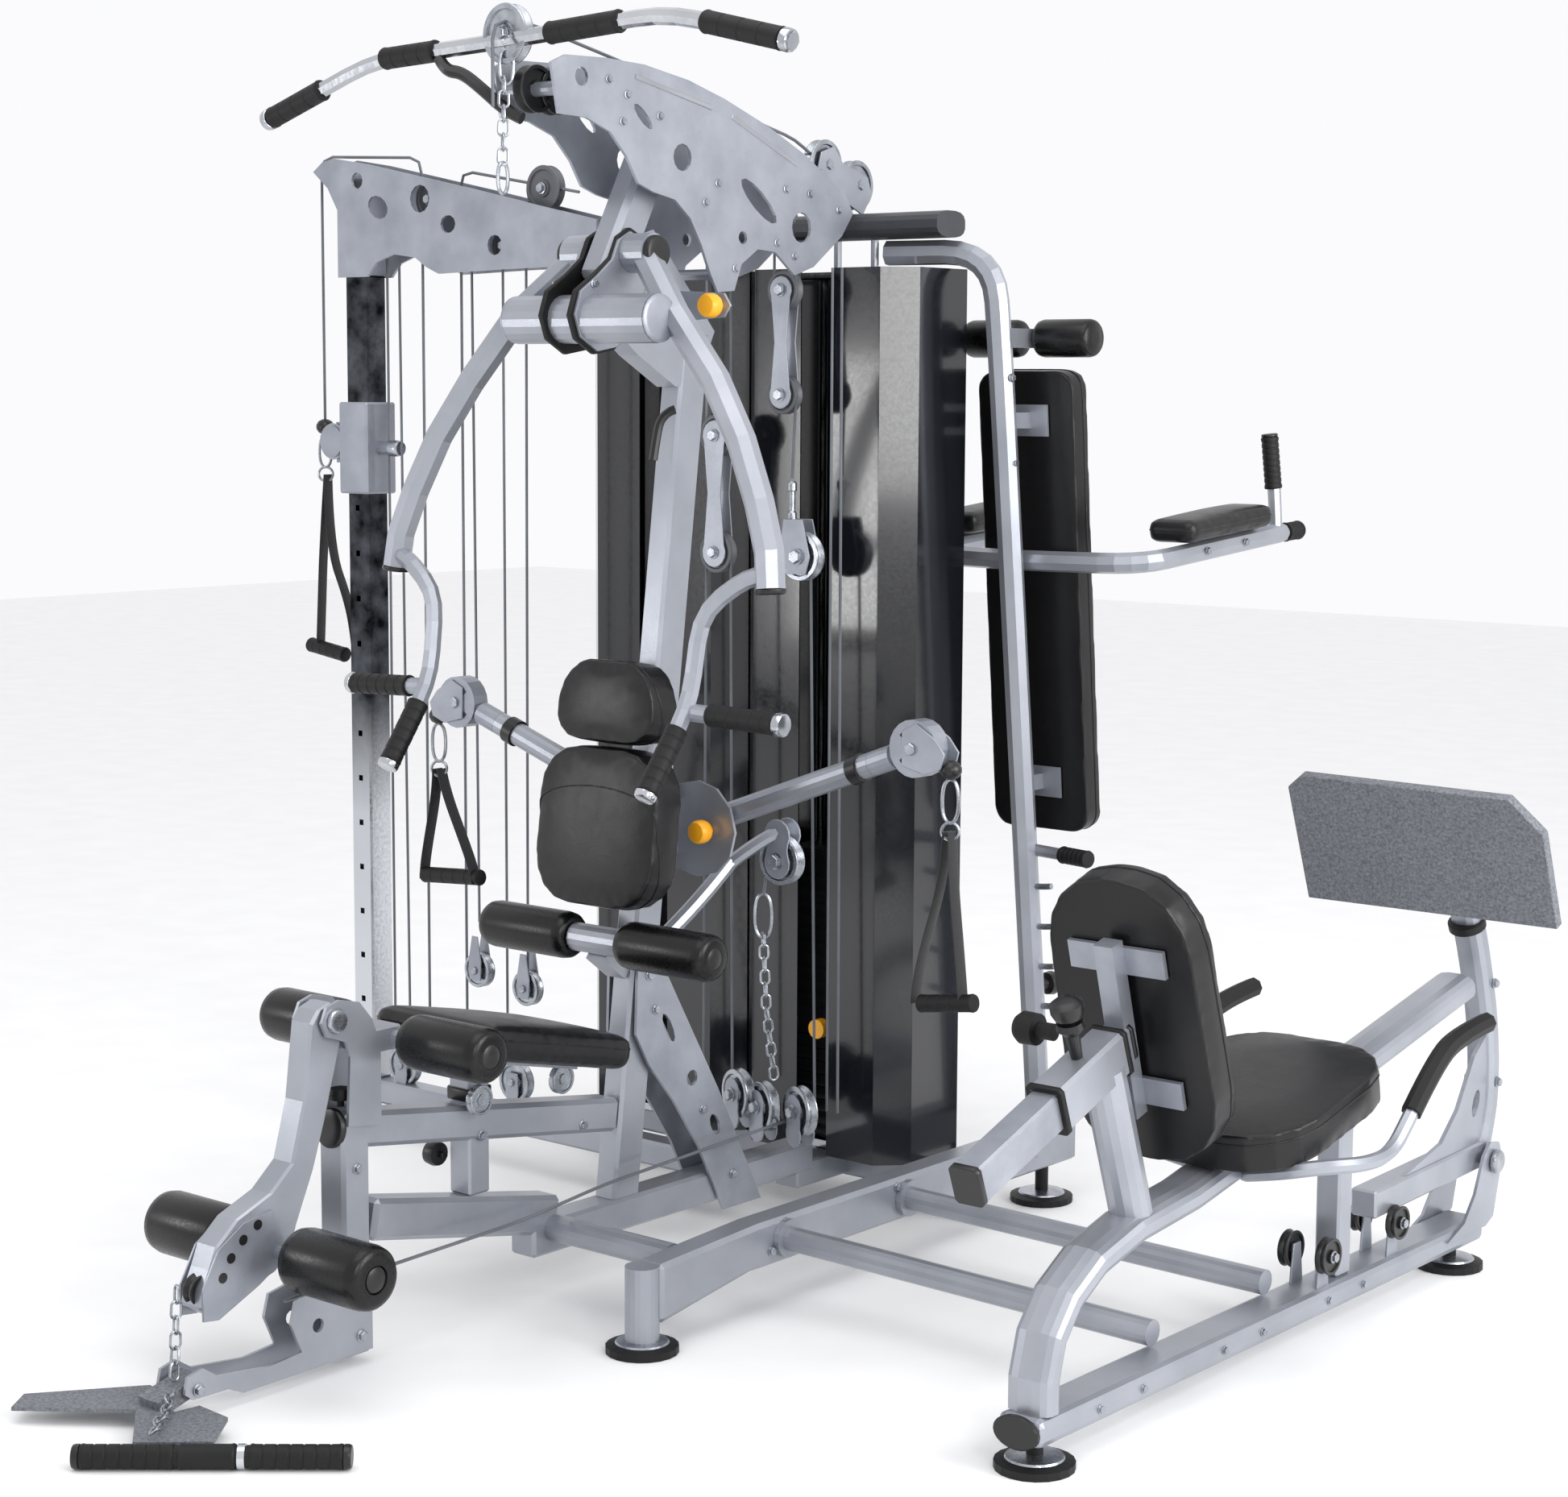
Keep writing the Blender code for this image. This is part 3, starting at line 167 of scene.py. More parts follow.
# ------------------------------------------------------------------ upholstered pads
# Plywood boards with foam, wrapped in black leather-grain vinyl that is stapled behind.  The
# foam crowns the face; a sewn welt runs where the face panel meets the side band.
HIDE_GRAIN_MM = 2.6           # pebble size, drawn a little coarse so that it shows
corner_of = {name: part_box(name) for name in ("foot_front", "main_upright", "knee_back_pad", "leg_press_frame")}
HOME = (corner_of["foot_front"][0] + corner_of["foot_front"][1]) / 2
SX = (corner_of["main_upright"][0].x + corner_of["main_upright"][1].x) / 2 - HOME.x
KX = (corner_of["knee_back_pad"][0].x + corner_of["knee_back_pad"][1].x) / 2 - HOME.x
LX = (corner_of["leg_press_frame"][0].x + corner_of["leg_press_frame"][1].x) / 2 - HOME.x


def at(x, y, z):
    """A place measured from the front levelling foot, as the frame was laid out."""
    return Vector((HOME.x + x, HOME.y + y, z))


def nothing_selected():
    for other in bpy.context.selected_objects:
        other.select_set(False)


def only(ob):
    """Selects this object alone and makes it active."""
    nothing_selected()
    ob.select_set(True)
    bpy.context.view_layer.objects.active = ob
    return ob


def closed_up(ob, reach=0.00002):
    """Merges doubled points and turns every face outwards."""
    only(ob)
    bpy.ops.object.mode_set(mode="EDIT")
    bpy.ops.mesh.select_all(action="SELECT")
    bpy.ops.mesh.remove_doubles(threshold=reach)
    bpy.ops.mesh.normals_make_consistent(inside=False)
    bpy.ops.object.mode_set(mode="OBJECT")
    return ob


def finished(ob, name, body, material, sharp=35):
    """Takes the place into the mesh, shades its edges and hangs it on its body in its finish."""
    only(ob)
    bpy.ops.object.transform_apply(location=True, rotation=True, scale=True)
    bpy.ops.object.shade_smooth_by_angle(angle=math.radians(sharp))
    ob.name = name
    ob.data.name = name
    ob.data.materials.clear()
    ob.data.materials.append(material)
    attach(ob, body)
    return ob


vinyl = bpy.data.materials.new("black_leather_grain_vinyl")
vinyl.use_nodes = True
tree = vinyl.node_tree
shader = tree.nodes["Principled BSDF"]
shader.inputs["Specular IOR Level"].default_value = 0.4
place = add(tree, "ShaderNodeTexCoord", {}, {}).outputs["Object"]
pebble = add(tree, "ShaderNodeTexVoronoi", {"feature": "SMOOTH_F1", "Scale": 1000 / HIDE_GRAIN_MM}, {"Vector": place})
crease = add(tree, "ShaderNodeTexNoise", {"Scale": 28.0, "Detail": 6.0, "Distortion": 0.6}, {"Vector": place})
tone = add(tree, "ShaderNodeMix", {"data_type": "RGBA", 6: linear("#060607"), 7: linear("#0f0f11")},
           {0: crease.outputs["Fac"]})
gloss = add(tree, "ShaderNodeMapRange", {"To Min": 0.28, "To Max": 0.42}, {"Value": crease.outputs["Fac"]})
fold = add(tree, "ShaderNodeBump", {"Strength": 0.08, "Distance": 0.004}, {"Height": crease.outputs["Fac"]})
grain = add(tree, "ShaderNodeBump", {"Strength": 0.12, "Distance": 0.0006},
            {"Height": pebble.outputs["Distance"], "Normal": fold.outputs["Normal"]})
tree.links.new(shader.inputs["Base Color"], tone.outputs[2])
tree.links.new(shader.inputs["Roughness"], gloss.outputs["Result"])
tree.links.new(shader.inputs["Normal"], grain.outputs["Normal"])


def upholstered(node, body, back, puff, welt):
    """Blows the foam's skin up off its board; welt is how far behind the face the seam lies."""
    back = Vector(back).normalized()
    ob = bpy.data.objects.new(node + "_cover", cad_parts[node].data.copy())
    bpy.context.scene.collection.objects.link(ob)
    closed_up(ob)
    size = max(ob.dimensions)
    ob.data.remesh_voxel_size = 0.010 if size > 0.6 else 0.0085
    bpy.ops.object.voxel_remesh()
    tuck = ob.modifiers.new("tuck", "DISPLACE")
    tuck.strength = -0.003
    tuck.mid_level = 0.0
    bpy.ops.object.modifier_apply(modifier="tuck")
    rest = [v.co.copy() for v in ob.data.vertices]
    skin = ob.modifiers.new("skin", "CLOTH")
    skin.settings.quality = 2
    skin.collision_settings.use_collision = False
    skin.settings.use_pressure = True
    skin.settings.uniform_pressure_force = 4.0
    skin.settings.effector_weights.gravity = 0.0
    skin.settings.bending_stiffness = 2.0
    skin.point_cache.frame_end = 10
    for step in range(1, 11):
        bpy.context.scene.frame_set(step)
    blown = ob.evaluated_get(bpy.context.evaluated_depsgraph_get()).data
    moves = [v.co - start for v, start in zip(blown.vertices, rest)]
    ob.modifiers.remove(skin)
    reach = sorted(m.length for m in moves)[int(len(moves) * 0.98)]
    for vertex, start, move in zip(ob.data.vertices, rest, moves):
        held = 0.1 if vertex.normal.dot(back) > 0.6 else 1.0
        vertex.co = start + move * (held * min(1.0, puff / reach))
    bpy.context.scene.frame_set(1)
    smooth = ob.modifiers.new("smooth", "SUBSURF")
    smooth.levels = 1
    smooth.render_levels = 1
    only(ob)
    bpy.ops.object.modifier_apply(modifier="smooth")
    face = min(v.co.dot(back) for v in ob.data.vertices)
    seam = bpy.data.objects.new(node + "_welt", ob.data.copy())
    bpy.context.scene.collection.objects.link(seam)
    only(seam)
    bpy.ops.object.mode_set(mode="EDIT")
    bpy.ops.mesh.select_all(action="SELECT")
    bpy.ops.mesh.bisect(plane_co=back * (face + welt), plane_no=back, clear_inner=True, clear_outer=True)
    bpy.ops.object.mode_set(mode="OBJECT")
    bpy.ops.object.convert(target="CURVE")
    seam.data.bevel_depth = 0.0016
    seam.data.bevel_resolution = 1
    bpy.ops.object.convert(target="MESH")
    closed_up(seam)
    finished(ob, node + "_cover", body, vinyl, 60)
    finished(seam, node + "_welt", body, vinyl, 60)
    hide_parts(node)
    return ob


upholstered("seat_pad", "frame", (0, -0.216, -0.976), 0.008, 0.030)
upholstered("back_pad", "frame", (0, 0.993, 0.115), 0.009, 0.040)
upholstered("head_pad", "frame", (0, 0.993, 0.115), 0.008, 0.040)
upholstered("arm_pad_left", "frame", (0, 0.082, -0.997), 0.006, 0.026)
upholstered("arm_pad_right", "frame", (0, 0.082, -0.997), 0.006, 0.026)
upholstered("knee_back_pad", "frame", (0, -0.996, -0.091), 0.006, 0.022)
upholstered("leg_back_pad", "leg_back", (0, -0.961, -0.276), 0.008, 0.024)
upholstered("leg_seat_pad", "frame", (0, 0.208, -0.978), 0.008, 0.024)

# ------------------------------------------------------------------ foam rollers
# Moulded foam sleeves in smooth black vinyl, pushed on to steel axles and held by a domed
# nylon plug.  Their ends are rolled over, so the edge catches a soft highlight.
foam_skin = worked_finish("smooth_black_vinyl_on_foam", ("#060607", "#0d0d0e"), 0.30, 0.0,
                          4.0, 0.08, 0.06, 45, shine=0.35)


def spun(profile, start, along, sides=28):
    """A turned piece: a disc pushed out ring by ring; profile is (radius, distance along)."""
    nothing_selected()
    radius, level = profile[0]
    bpy.ops.mesh.primitive_circle_add(vertices=sides, radius=radius, fill_type="NGON")
    ob = bpy.context.object
    bpy.ops.object.mode_set(mode="EDIT")
    height = 0.0
    for wide, far in profile[1:]:
        bpy.ops.mesh.extrude_region_move(TRANSFORM_OT_translate={"value": (0, 0, far - level - height)})
        height = far - level
        bpy.ops.transform.resize(value=(wide / radius, wide / radius, 1), center_override=(0, 0, height))
        radius = wide
    bpy.ops.mesh.select_all(action="SELECT")
    bpy.ops.mesh.normals_make_consistent(inside=False)
    bpy.ops.object.mode_set(mode="OBJECT")
    turn = Vector(along).to_track_quat("Z", "Y").to_matrix().to_4x4()
    ob.matrix_world = Matrix.Translation(start) @ turn @ Matrix.Translation((0, 0, level))
    return ob


def foam_roller(node, outwards):
    low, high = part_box(node)
    r = (high.z - low.z) / 2
    length = high.x - low.x
    ends = [(0.40, 0.004), (0.44, 0.0), (0.70, 0.0), (0.86, 0.003), (0.95, 0.009), (1.0, 0.022)]
    profile = [(r * k, h) for k, h in ends] + [(r * k, length - h) for k, h in reversed(ends)]
    middle = (low + high) / 2
    inner = middle - Vector((outwards * length / 2, 0, 0))
    ob = finished(spun(profile, inner, (outwards, 0, 0), 40), node + "_foam", node, foam_skin, 50)
    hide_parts(node)
    plug = spun([(0.020, length - 0.006), (0.020, length - 0.001), (0.016, length + 0.001), (0.006, length + 0.002)],
                inner, (outwards, 0, 0), 24)
    finished(plug, node + "_plug", node, black_nylon)


for outwards, side in ((-1, "left"), (1, "right")):
    for pair in ("thigh", "knee", "shin"):
        foam_roller(pair + "_roller_" + side, outwards)
low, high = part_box("knee_head_roller")
half = (high.x - low.x) / 2
bulge = [(0.010, 0.000), (0.030, 0.001), (0.034, 0.005), (0.036, 0.012), (0.036, 0.112), (0.034, 0.120),
         (0.030, 0.124), (0.012, 0.125)]
ends = bulge + [(r, 2 * half - h) for r, h in reversed(bulge)]
head_roller = spun(ends, Vector((low.x, (low.y + high.y) / 2, (low.z + high.z) / 2)), (1, 0, 0), 36)
finished(head_roller, "knee_head_roller_foam", "knee_head_roller", foam_skin, 50)
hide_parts("knee_head_roller")

# ------------------------------------------------------------------ chest press arms
# Two bent arms hang from one axle under the boom on a pair of hub plates.  Rubber grips are
# pushed on the handle tubes, with bright turned caps; the arms' open ends have nylon plugs.
facings = {"X": ((0, 1, 0), (0, 0, 1), (1, 0, 0)), "Y": ((1, 0, 0), (0, 0, 1), (0, -1, 0)),
           "Z": ((1, 0, 0), (0, 1, 0), (0, 0, 1))}


def facing(side, spot):
    """Stands a shape drawn flat so that it faces along X, Y or Z at that spot."""
    return Matrix.Translation(spot) @ Matrix(facings[side]).transposed().to_4x4()


def cut_plate(outline, thick, stand, edge=0.0007):
    """A sheet shape: its outline pulled out to the sheet's thickness, with eased edges."""
    nothing_selected()
    bpy.ops.mesh.primitive_circle_add(vertices=len(outline), radius=1.0, fill_type="NGON")
    ob = bpy.context.object
    for vertex, spot in zip(ob.data.vertices, outline):
        vertex.co = (spot[0], spot[1], -thick / 2)
    bpy.ops.object.mode_set(mode="EDIT")
    bpy.ops.mesh.select_all(action="SELECT")
    bpy.ops.mesh.extrude_region_move(TRANSFORM_OT_translate={"value": (0, 0, thick)})
    bpy.ops.mesh.select_all(action="SELECT")
    bpy.ops.mesh.normals_make_consistent(inside=False)
    bpy.ops.mesh.bevel(offset=edge, segments=1, affect="EDGES")
    bpy.ops.object.mode_set(mode="OBJECT")
    ob.matrix_world = stand
    return ob


def bent_tube(points, radius, sides=12, closed=False):
    """A bar or cable bent smoothly through its points."""
    route = bpy.data.curves.new("route", "CURVE")
    route.dimensions = "3D"
    route.bevel_depth = radius
    route.bevel_resolution = sides // 4 - 1
    route.use_fill_caps = True
    spline = route.splines.new("NURBS")
    spline.points.add(len(points) - 1)
    for point, spot in zip(spline.points, points):
        point.co = (*spot, 1.0)
    spline.order_u = 3
    spline.resolution_u = 5
    spline.use_cyclic_u = closed
    spline.use_endpoint_u = not closed
    ob = bpy.data.objects.new("route", route)
    bpy.context.scene.collection.objects.link(ob)
    only(ob)
    bpy.ops.object.convert(target="MESH")
    return closed_up(bpy.context.object)


def copied(ob, change):
    """The same shape again, on its own mesh."""
    twin = bpy.data.objects.new(ob.name, ob.data.copy())
    bpy.context.scene.collection.objects.link(twin)
    twin.matrix_world = change @ ob.matrix_world
    return twin


def joined(obs):
    """Several shapes made one piece."""
    only(obs[0])
    for ob in obs[1:]:
        ob.select_set(True)
    bpy.ops.object.join()
    return obs[0]


def grip(start, end, radius, ribs=0):
    """A rubber sleeve on a bar, with a collar at each end and rings round it."""
    length = (end - start).length
    profile = [(radius * 0.72, 0.0), (radius * 0.98, 0.0008), (radius * 1.05, 0.004), (radius, 0.008)]
    for ring in range(ribs):
        middle = length * (ring + 1) / (ribs + 1)
        profile += [(radius, middle - 0.0022), (radius * 0.95, middle - 0.0012), (radius * 0.95, middle + 0.0012),
                    (radius, middle + 0.0022)]
    profile += [(radius, length - 0.008), (radius * 1.05, length - 0.004), (radius * 0.98, length - 0.0008),
                (radius * 0.72, length)]
    return spun(profile, start, end - start, 24)


def end_cap(spot, along, radius, length=0.012):
    """A turned cap, rounded at its rim and slightly dished."""
    return spun([(radius * 0.92, 0.0), (radius, 0.001), (radius, length * 0.6), (radius * 0.93, length * 0.9),
                 (radius * 0.82, length), (radius * 0.4, length * 0.93)], spot, along, 24)


washer = spun([(0.0105, 0.0), (0.0105, 0.0016), (0.0095, 0.002)], Vector((0, 0, 0)), (0, 0, 1), 20)
head = spun([(0.0085, 0.002), (0.0085, 0.007), (0.0075, 0.0082), (0.004, 0.0082)], Vector((0, 0, 0)), (0, 0, 1), 6)
bolt_shape = joined([washer, head])


def bolts(name, body, spots, size=1.0):
    """Hexagon bolt heads on their washers; spots are (place, direction)."""
    made = []
    for spot, along in spots:
        turn = Vector(along).to_track_quat("Z", "Y").to_matrix().to_4x4()
        made.append(copied(bolt_shape, Matrix.Translation(spot) @ turn @ Matrix.Scale(size, 4)))
    return finished(joined(made), name, body, zinc)


HUB = [(0.268, 1.852), (0.298, 1.868), (0.332, 1.852), (0.346, 1.800), (0.326, 1.745), (0.300, 1.700),
       (0.262, 1.668), (0.214, 1.660), (0.172, 1.684), (0.158, 1.722), (0.172, 1.762), (0.215, 1.790), (0.252, 1.818)]
for way, side in ((-1, "left"), (1, "right")):
    finished(end_cap(at(SX + way * 0.0972, 0.300, 1.830), (way, 0, 0), 0.030, 0.013), "press_pivot_cap_" + side,
             "press_arms", black_nylon)
    hub = cut_plate(HUB, 0.006, facing("X", at(SX + way * 0.0415, 0, 0)))
    finished(hub, "press_hub_plate_" + side, "press_arms", plate_silver)
    edge = [(y + (y - 0.24) * 0.10, z + (z - 1.75) * 0.06) for y, z in HUB]
    rim = cut_plate(edge, 0.010, facing("X", at(SX + way * 0.0335, 0, 0)), 0.002)
    finished(rim, "press_hub_bumper_" + side, "press_arms", rubber)
    bolts("press_hub_bolts_" + side, "press_arms",
          [(at(SX + way * 0.0447, y, z), (way, 0, 0))
           for y, z in ((0.205, 1.775), (0.180, 1.700), (0.290, 1.745))], 0.8)
    top = at(SX + way * 0.309, 0.040, 0.925)
    up = (at(SX + way * 0.312, 0.150, 1.075) - top).normalized()
    finished(grip(top + up * 0.010, top + up * 0.135, 0.0190, 5), "press_low_grip_" + side, "press_arms", rubber)
    finished(end_cap(top + up * 0.010, -up, 0.0195, 0.012), "press_low_grip_cap_" + side, "press_arms", chrome)
    outer = at(SX + way * 0.510, 0.147, 1.054)
    inner = at(SX + way * 0.318, 0.147, 1.060)
    out = (outer - inner).normalized()
    finished(grip(outer - out * 0.150, outer - out * 0.004, 0.0190, 5), "press_side_grip_" + side, "press_arms",
             rubber)
    finished(end_cap(outer - out * 0.004, out, 0.0205, 0.014), "press_side_grip_cap_" + side, "press_arms", chrome)
    foot = at(SX + way * 0.447, 0.197, 1.270)
    finished(end_cap(foot, Vector((way * 0.09, -0.05, -1.0)), 0.0262, 0.009), "press_arm_plug_" + side, "press_arms",
             black_nylon)
    finished(end_cap(at(SX + (0.190 if way > 0 else -0.140), 0.207, 1.715), (way, 0, 0), 0.0415, 0.006),
             "press_cross_tube_plug_" + side, "press_arms", plate_silver)

# ------------------------------------------------------------------ lat bar
# A cranked chromed bar on a spring hook, with four rubber grips.  It rests in a nylon hook
# beside the front of the boom.
LAT = [at(x, 0.045, z) for x, z in ((-0.955, 2.070), (-0.665, 2.160), (-0.340, 2.172), (0.015, 2.190),
                                    (0.275, 2.128))]


def along_lat(x):
    """The bar's centre line at this distance across."""
    for a, b in zip(LAT, LAT[1:]):
        if a.x - HOME.x <= x <= b.x - HOME.x:
            return a.lerp(b, (x - a.x + HOME.x) / (b.x - a.x))
    return LAT[0] if x < 0 else LAT[-1]


for number, (a, b) in enumerate(((-0.935, -0.800), (-0.640, -0.510), (-0.245, -0.085), (0.095, 0.255))):
    finished(grip(along_lat(a), along_lat(b), 0.0185, 3), "lat_bar_grip_%d" % (number + 1), "lat_bar", rubber)
finished(end_cap(along_lat(-0.937), LAT[0] - LAT[1], 0.0190, 0.016), "lat_bar_cap_left", "lat_bar", chrome)
finished(end_cap(along_lat(0.257), LAT[-1] - LAT[-2], 0.0190, 0.016), "lat_bar_cap_right", "lat_bar", chrome)

nothing_selected()
bpy.ops.mesh.primitive_torus_add(major_radius=0.0085, minor_radius=0.0023, major_segments=20, minor_segments=8)
link = bpy.context.object
for vertex in link.data.vertices:
    vertex.co.x += math.copysign(0.0055, vertex.co.x)


def chain(points, pitch=0.0235):
    """Welded links, each a quarter turn on from the last, along a hanging line."""
    made = []
    spare = 0.0
    count = 0
    for a, b in zip(points, points[1:]):
        run = (b - a).length
        while spare <= run:
            turn = (b - a).to_track_quat("X", "Z").to_matrix().to_4x4()
            twist = Matrix.Rotation(math.radians(90 * (count % 2) + 35), 4, "X")
            made.append(copied(link, Matrix.Translation(a.lerp(b, spare / run)) @ turn @ twist))
            spare += pitch
            count += 1
        spare -= run
    return joined(made)


def spring_hook(top, drop, turn=0.0):
    """A pear-shaped snap hook hanging from its eye."""
    shape = [(0.0, 0.0), (0.35, -0.12), (0.46, -0.45), (0.38, -0.85), (0.0, -1.0), (-0.38, -0.85), (-0.46, -0.45),
             (-0.35, -0.12)]
    c, s = math.cos(turn), math.sin(turn)
    loop = [top + Vector((u * 0.42 * drop * c, u * 0.42 * drop * s, v * drop)) for u, v in shape]
    return bent_tube(loop, 0.0032, 8, True)


finished(spring_hook(at(SX, 0.040, 2.160), 0.062, 0.7), "lat_bar_spring_hook", "lat_bar", zinc)
finished(chain([at(SX, 0.034, 2.098), at(SX, 0.030, 1.960)]), "lat_bar_chain", "lat_bar", zinc)
finished(spring_hook(at(SX, 0.030, 1.972), 0.055, 1.4), "lat_chain_end_hook", "lat_bar", zinc)


def pulley(centre, along, radius, width=0.020):
    """A moulded sheave: rim, rope groove, thin web and boss."""
    along = Vector(along).normalized()
    half = [(0.30, 0.0), (0.36, 0.0), (0.38, 0.18), (0.78, 0.18), (0.82, 0.0), (0.97, 0.0), (1.0, 0.06),
            (1.0, 0.14), (0.86, 0.5)]
    profile = [(radius * k, width * h) for k, h in half] + [(radius * k, width * (1 - h)) for k, h in half[-2::-1]]
    return spun(profile, centre - along * width / 2, along, 36)


nylon_grey = worked_finish("moulded_grey_nylon", ("#4a4c50", "#5d5f64"), 0.42, 0.05, 1.5, 0.12)
finished(pulley(at(SX, 0.045, 2.182), (0, 1, 0), 0.050, 0.022), "lat_top_pulley", "frame", zinc)
bolts("lat_top_pulley_bolt", "frame", [(at(SX, 0.033, 2.182), (0, -1, 0))], 1.2)
for number, y in enumerate((0.105, 0.152)):
    finished(pulley(at(SX, y, 2.097), (1, 0, 0), 0.040, 0.024), "boom_front_pulley_%d" % (number + 1), "frame",
             black_nylon)
hook = bent_tube([at(-0.368, 0.105, 2.050), at(-0.395, 0.095, 2.062), at(-0.429, 0.070, 2.100),
                  at(-0.462, 0.055, 2.128), at(-0.485, 0.040, 2.130), at(-0.500, 0.040, 2.152)], 0.011)
finished(hook, "lat_bar_rest_hook", "frame", black_nylon)

# ------------------------------------------------------------------ boom
# Two plates carry the lat pulleys between them; bolts clamp them to the upright's head.
for number, (y, z) in enumerate(((0.882, 2.018), (0.979, 1.985))):
    finished(pulley(at(SX, y, z), (1, 0, 0), 0.047, 0.022), "boom_rear_pulley_%d" % (number + 1), "frame", zinc)
    bolts("boom_rear_pulley_bolt_%d" % (number + 1), "frame",
          [(at(SX + 0.0115, y, z), (1, 0, 0)), (at(SX - 0.0115, y, z), (-1, 0, 0))], 1.2)
saddle = [(0.845, 1.935), (0.905, 1.962), (0.985, 1.928), (1.012, 1.968), (1.000, 2.000), (0.965, 2.012),
          (0.925, 2.020), (0.895, 2.052), (0.858, 2.040), (0.845, 2.000)]
for way, side in ((-1, "left"), (1, "right")):
    finished(cut_plate(saddle, 0.004, facing("X", at(SX + way * 0.016, 0, 0))),
             "boom_rear_cheek_" + side, "frame", plate_silver)
for number, (a, b) in enumerate((((0.282, 2.128), (0.481, 2.090)), ((0.536, 2.079), (0.723, 2.005)))):
    run = Vector((b[0] - a[0], b[1] - a[1])).normalized()
    over = Vector((-run.y, run.x)) * 0.004
    strip = [(a[0] - over.x, a[1] - over.y), (b[0] - over.x, b[1] - over.y), (b[0] + over.x, b[1] + over.y),
             (a[0] + over.x, a[1] + over.y)]
    finished(cut_plate(strip, 0.0024, facing("X", at(SX + 0.0706, 0, 0)), 0.0006),
             "boom_top_strip_%d" % (number + 1), "frame", chrome)
boom_spots = ((0.215, 2.118), (0.262, 2.096), (0.345, 2.066), (0.500, 1.960), (0.466, 1.925), (0.690, 1.960),
              (0.665, 1.862), (0.760, 1.955), (0.548, 1.812), (0.715, 1.840), (0.250, 2.050), (0.845, 1.930))
bolts("boom_bolts", "frame",
      [(at(SX + way * 0.0702, y, z), (way, 0, 0)) for way in (-1, 1) for y, z in boom_spots], 0.75)

# ------------------------------------------------------------------ column arm and cable run
# The arm's two plates hold a pulley at each end; nylon-jacketed cables drop from them to
# pulleys on the floor rail and back up through a floating block.
for name, spot, r in (("arm_outer_pulley", (-1.470, 0.700, 2.030), 0.034),
                      ("arm_middle_pulley", (-1.209, 0.700, 1.975), 0.040),
                      ("arm_top_pulley", (-0.890, 0.700, 1.985), 0.045),
                      ("arm_inner_pulley", (-0.996, 0.700, 1.877), 0.034)):
    finished(pulley(at(*spot), (0, 1, 0), r), name, "frame", nylon_grey)
    bolts(name + "_bolt", "frame", [(at(spot[0], 0.6885, spot[2]), (0, -1, 0))], 1.1)
runs = (((-1.346, 1.86), (-1.346, 0.16)), ((-1.310, 1.86), (-1.300, 0.14)), ((-1.010, 1.84), (-1.010, 0.20)),
        ((-0.945, 1.84), (-0.951, 0.40)), ((-1.098, 1.84), (-1.090, 0.50)))
lines = [bent_tube([at(a[0], 0.700, a[1]), at((a[0] + b[0]) / 2, 0.700, (a[1] + b[1]) / 2), at(b[0], 0.700, b[1])],
                   0.0028, 8) for a, b in runs]
finished(joined(lines), "column_cable_runs", "frame", jacket)
for name, spot, r in (("floor_pulley_1", (-1.316, 0.700, 0.165), 0.042),
                      ("floor_pulley_2", (-0.985, 0.700, 0.180), 0.042),
                      ("floating_pulley_1", (-1.090, 0.700, 0.400), 0.036),
                      ("floating_pulley_2", (-0.951, 0.700, 0.380), 0.036)):
    finished(pulley(at(*spot), (0, 1, 0), r), name, "frame", zinc)
    bolts(name + "_bolt", "frame", [(at(spot[0], 0.6885, spot[2]), (0, -1, 0))])
    cheek = [(-0.016, -0.020), (0.016, -0.020), (0.018, 0.020), (0.008, 0.072), (-0.008, 0.072), (-0.018, 0.020)]
    if "floor" in name:
        cheek = [(u, -v) for u, v in reversed(cheek)]
    for y in (0.6865, 0.7135):
        finished(cut_plate(cheek, 0.003, facing("Y", at(spot[0], y, spot[2]))), "%s_cheek_%d" % (name, y > 0.7),
                 "frame", plate_silver)

# ------------------------------------------------------------------ hand straps
# Folded nylon webbing runs from a steel ring to both ends of a moulded grip; the strap hangs
# straight and opens out to the grip's width.


def webbing(points, width, stand):
    """Flat woven strap, laid along points drawn in its own plane."""
    route = bpy.data.curves.new("strap", "CURVE")
    route.dimensions = "3D"
    route.twist_mode = "Z_UP"
    route.extrude = width / 2
    route.bevel_depth = 0.0011
    route.bevel_resolution = 1
    route.use_fill_caps = True
    spline = route.splines.new("NURBS")
    spline.points.add(len(points) - 1)
    for point, spot in zip(spline.points, points):
        point.co = (spot[0], spot[1], 0.0, 1.0)
    spline.order_u = 3
    spline.resolution_u = 6
    spline.use_endpoint_u = True
    ob = bpy.data.objects.new("strap", route)
    bpy.context.scene.collection.objects.link(ob)
    only(ob)
    bpy.ops.object.convert(target="MESH")
    ob = closed_up(bpy.context.object)
    ob.matrix_world = stand
    return ob


woven = bpy.data.materials.new("black_nylon_webbing")
woven.use_nodes = True
tree = woven.node_tree
shader = tree.nodes["Principled BSDF"]
shader.inputs["Roughness"].default_value = 0.72
shader.inputs["Sheen Weight"].default_value = 0.25
place = add(tree, "ShaderNodeTexCoord", {}, {}).outputs["Object"]
rows = add(tree, "ShaderNodeTexWave", {"bands_direction": "Z", "Scale": 130.0, "Distortion": 0.4}, {"Vector": place})
thread = add(tree, "ShaderNodeMix", {"data_type": "RGBA", 6: linear("#08080a"), 7: linear("#1d1d20")},
             {0: rows.outputs["Fac"]})
weave = add(tree, "ShaderNodeBump", {"Strength": 0.5, "Distance": 0.0008}, {"Height": rows.outputs["Fac"]})
tree.links.new(shader.inputs["Base Color"], thread.outputs[2])
tree.links.new(shader.inputs["Normal"], weave.outputs["Normal"])


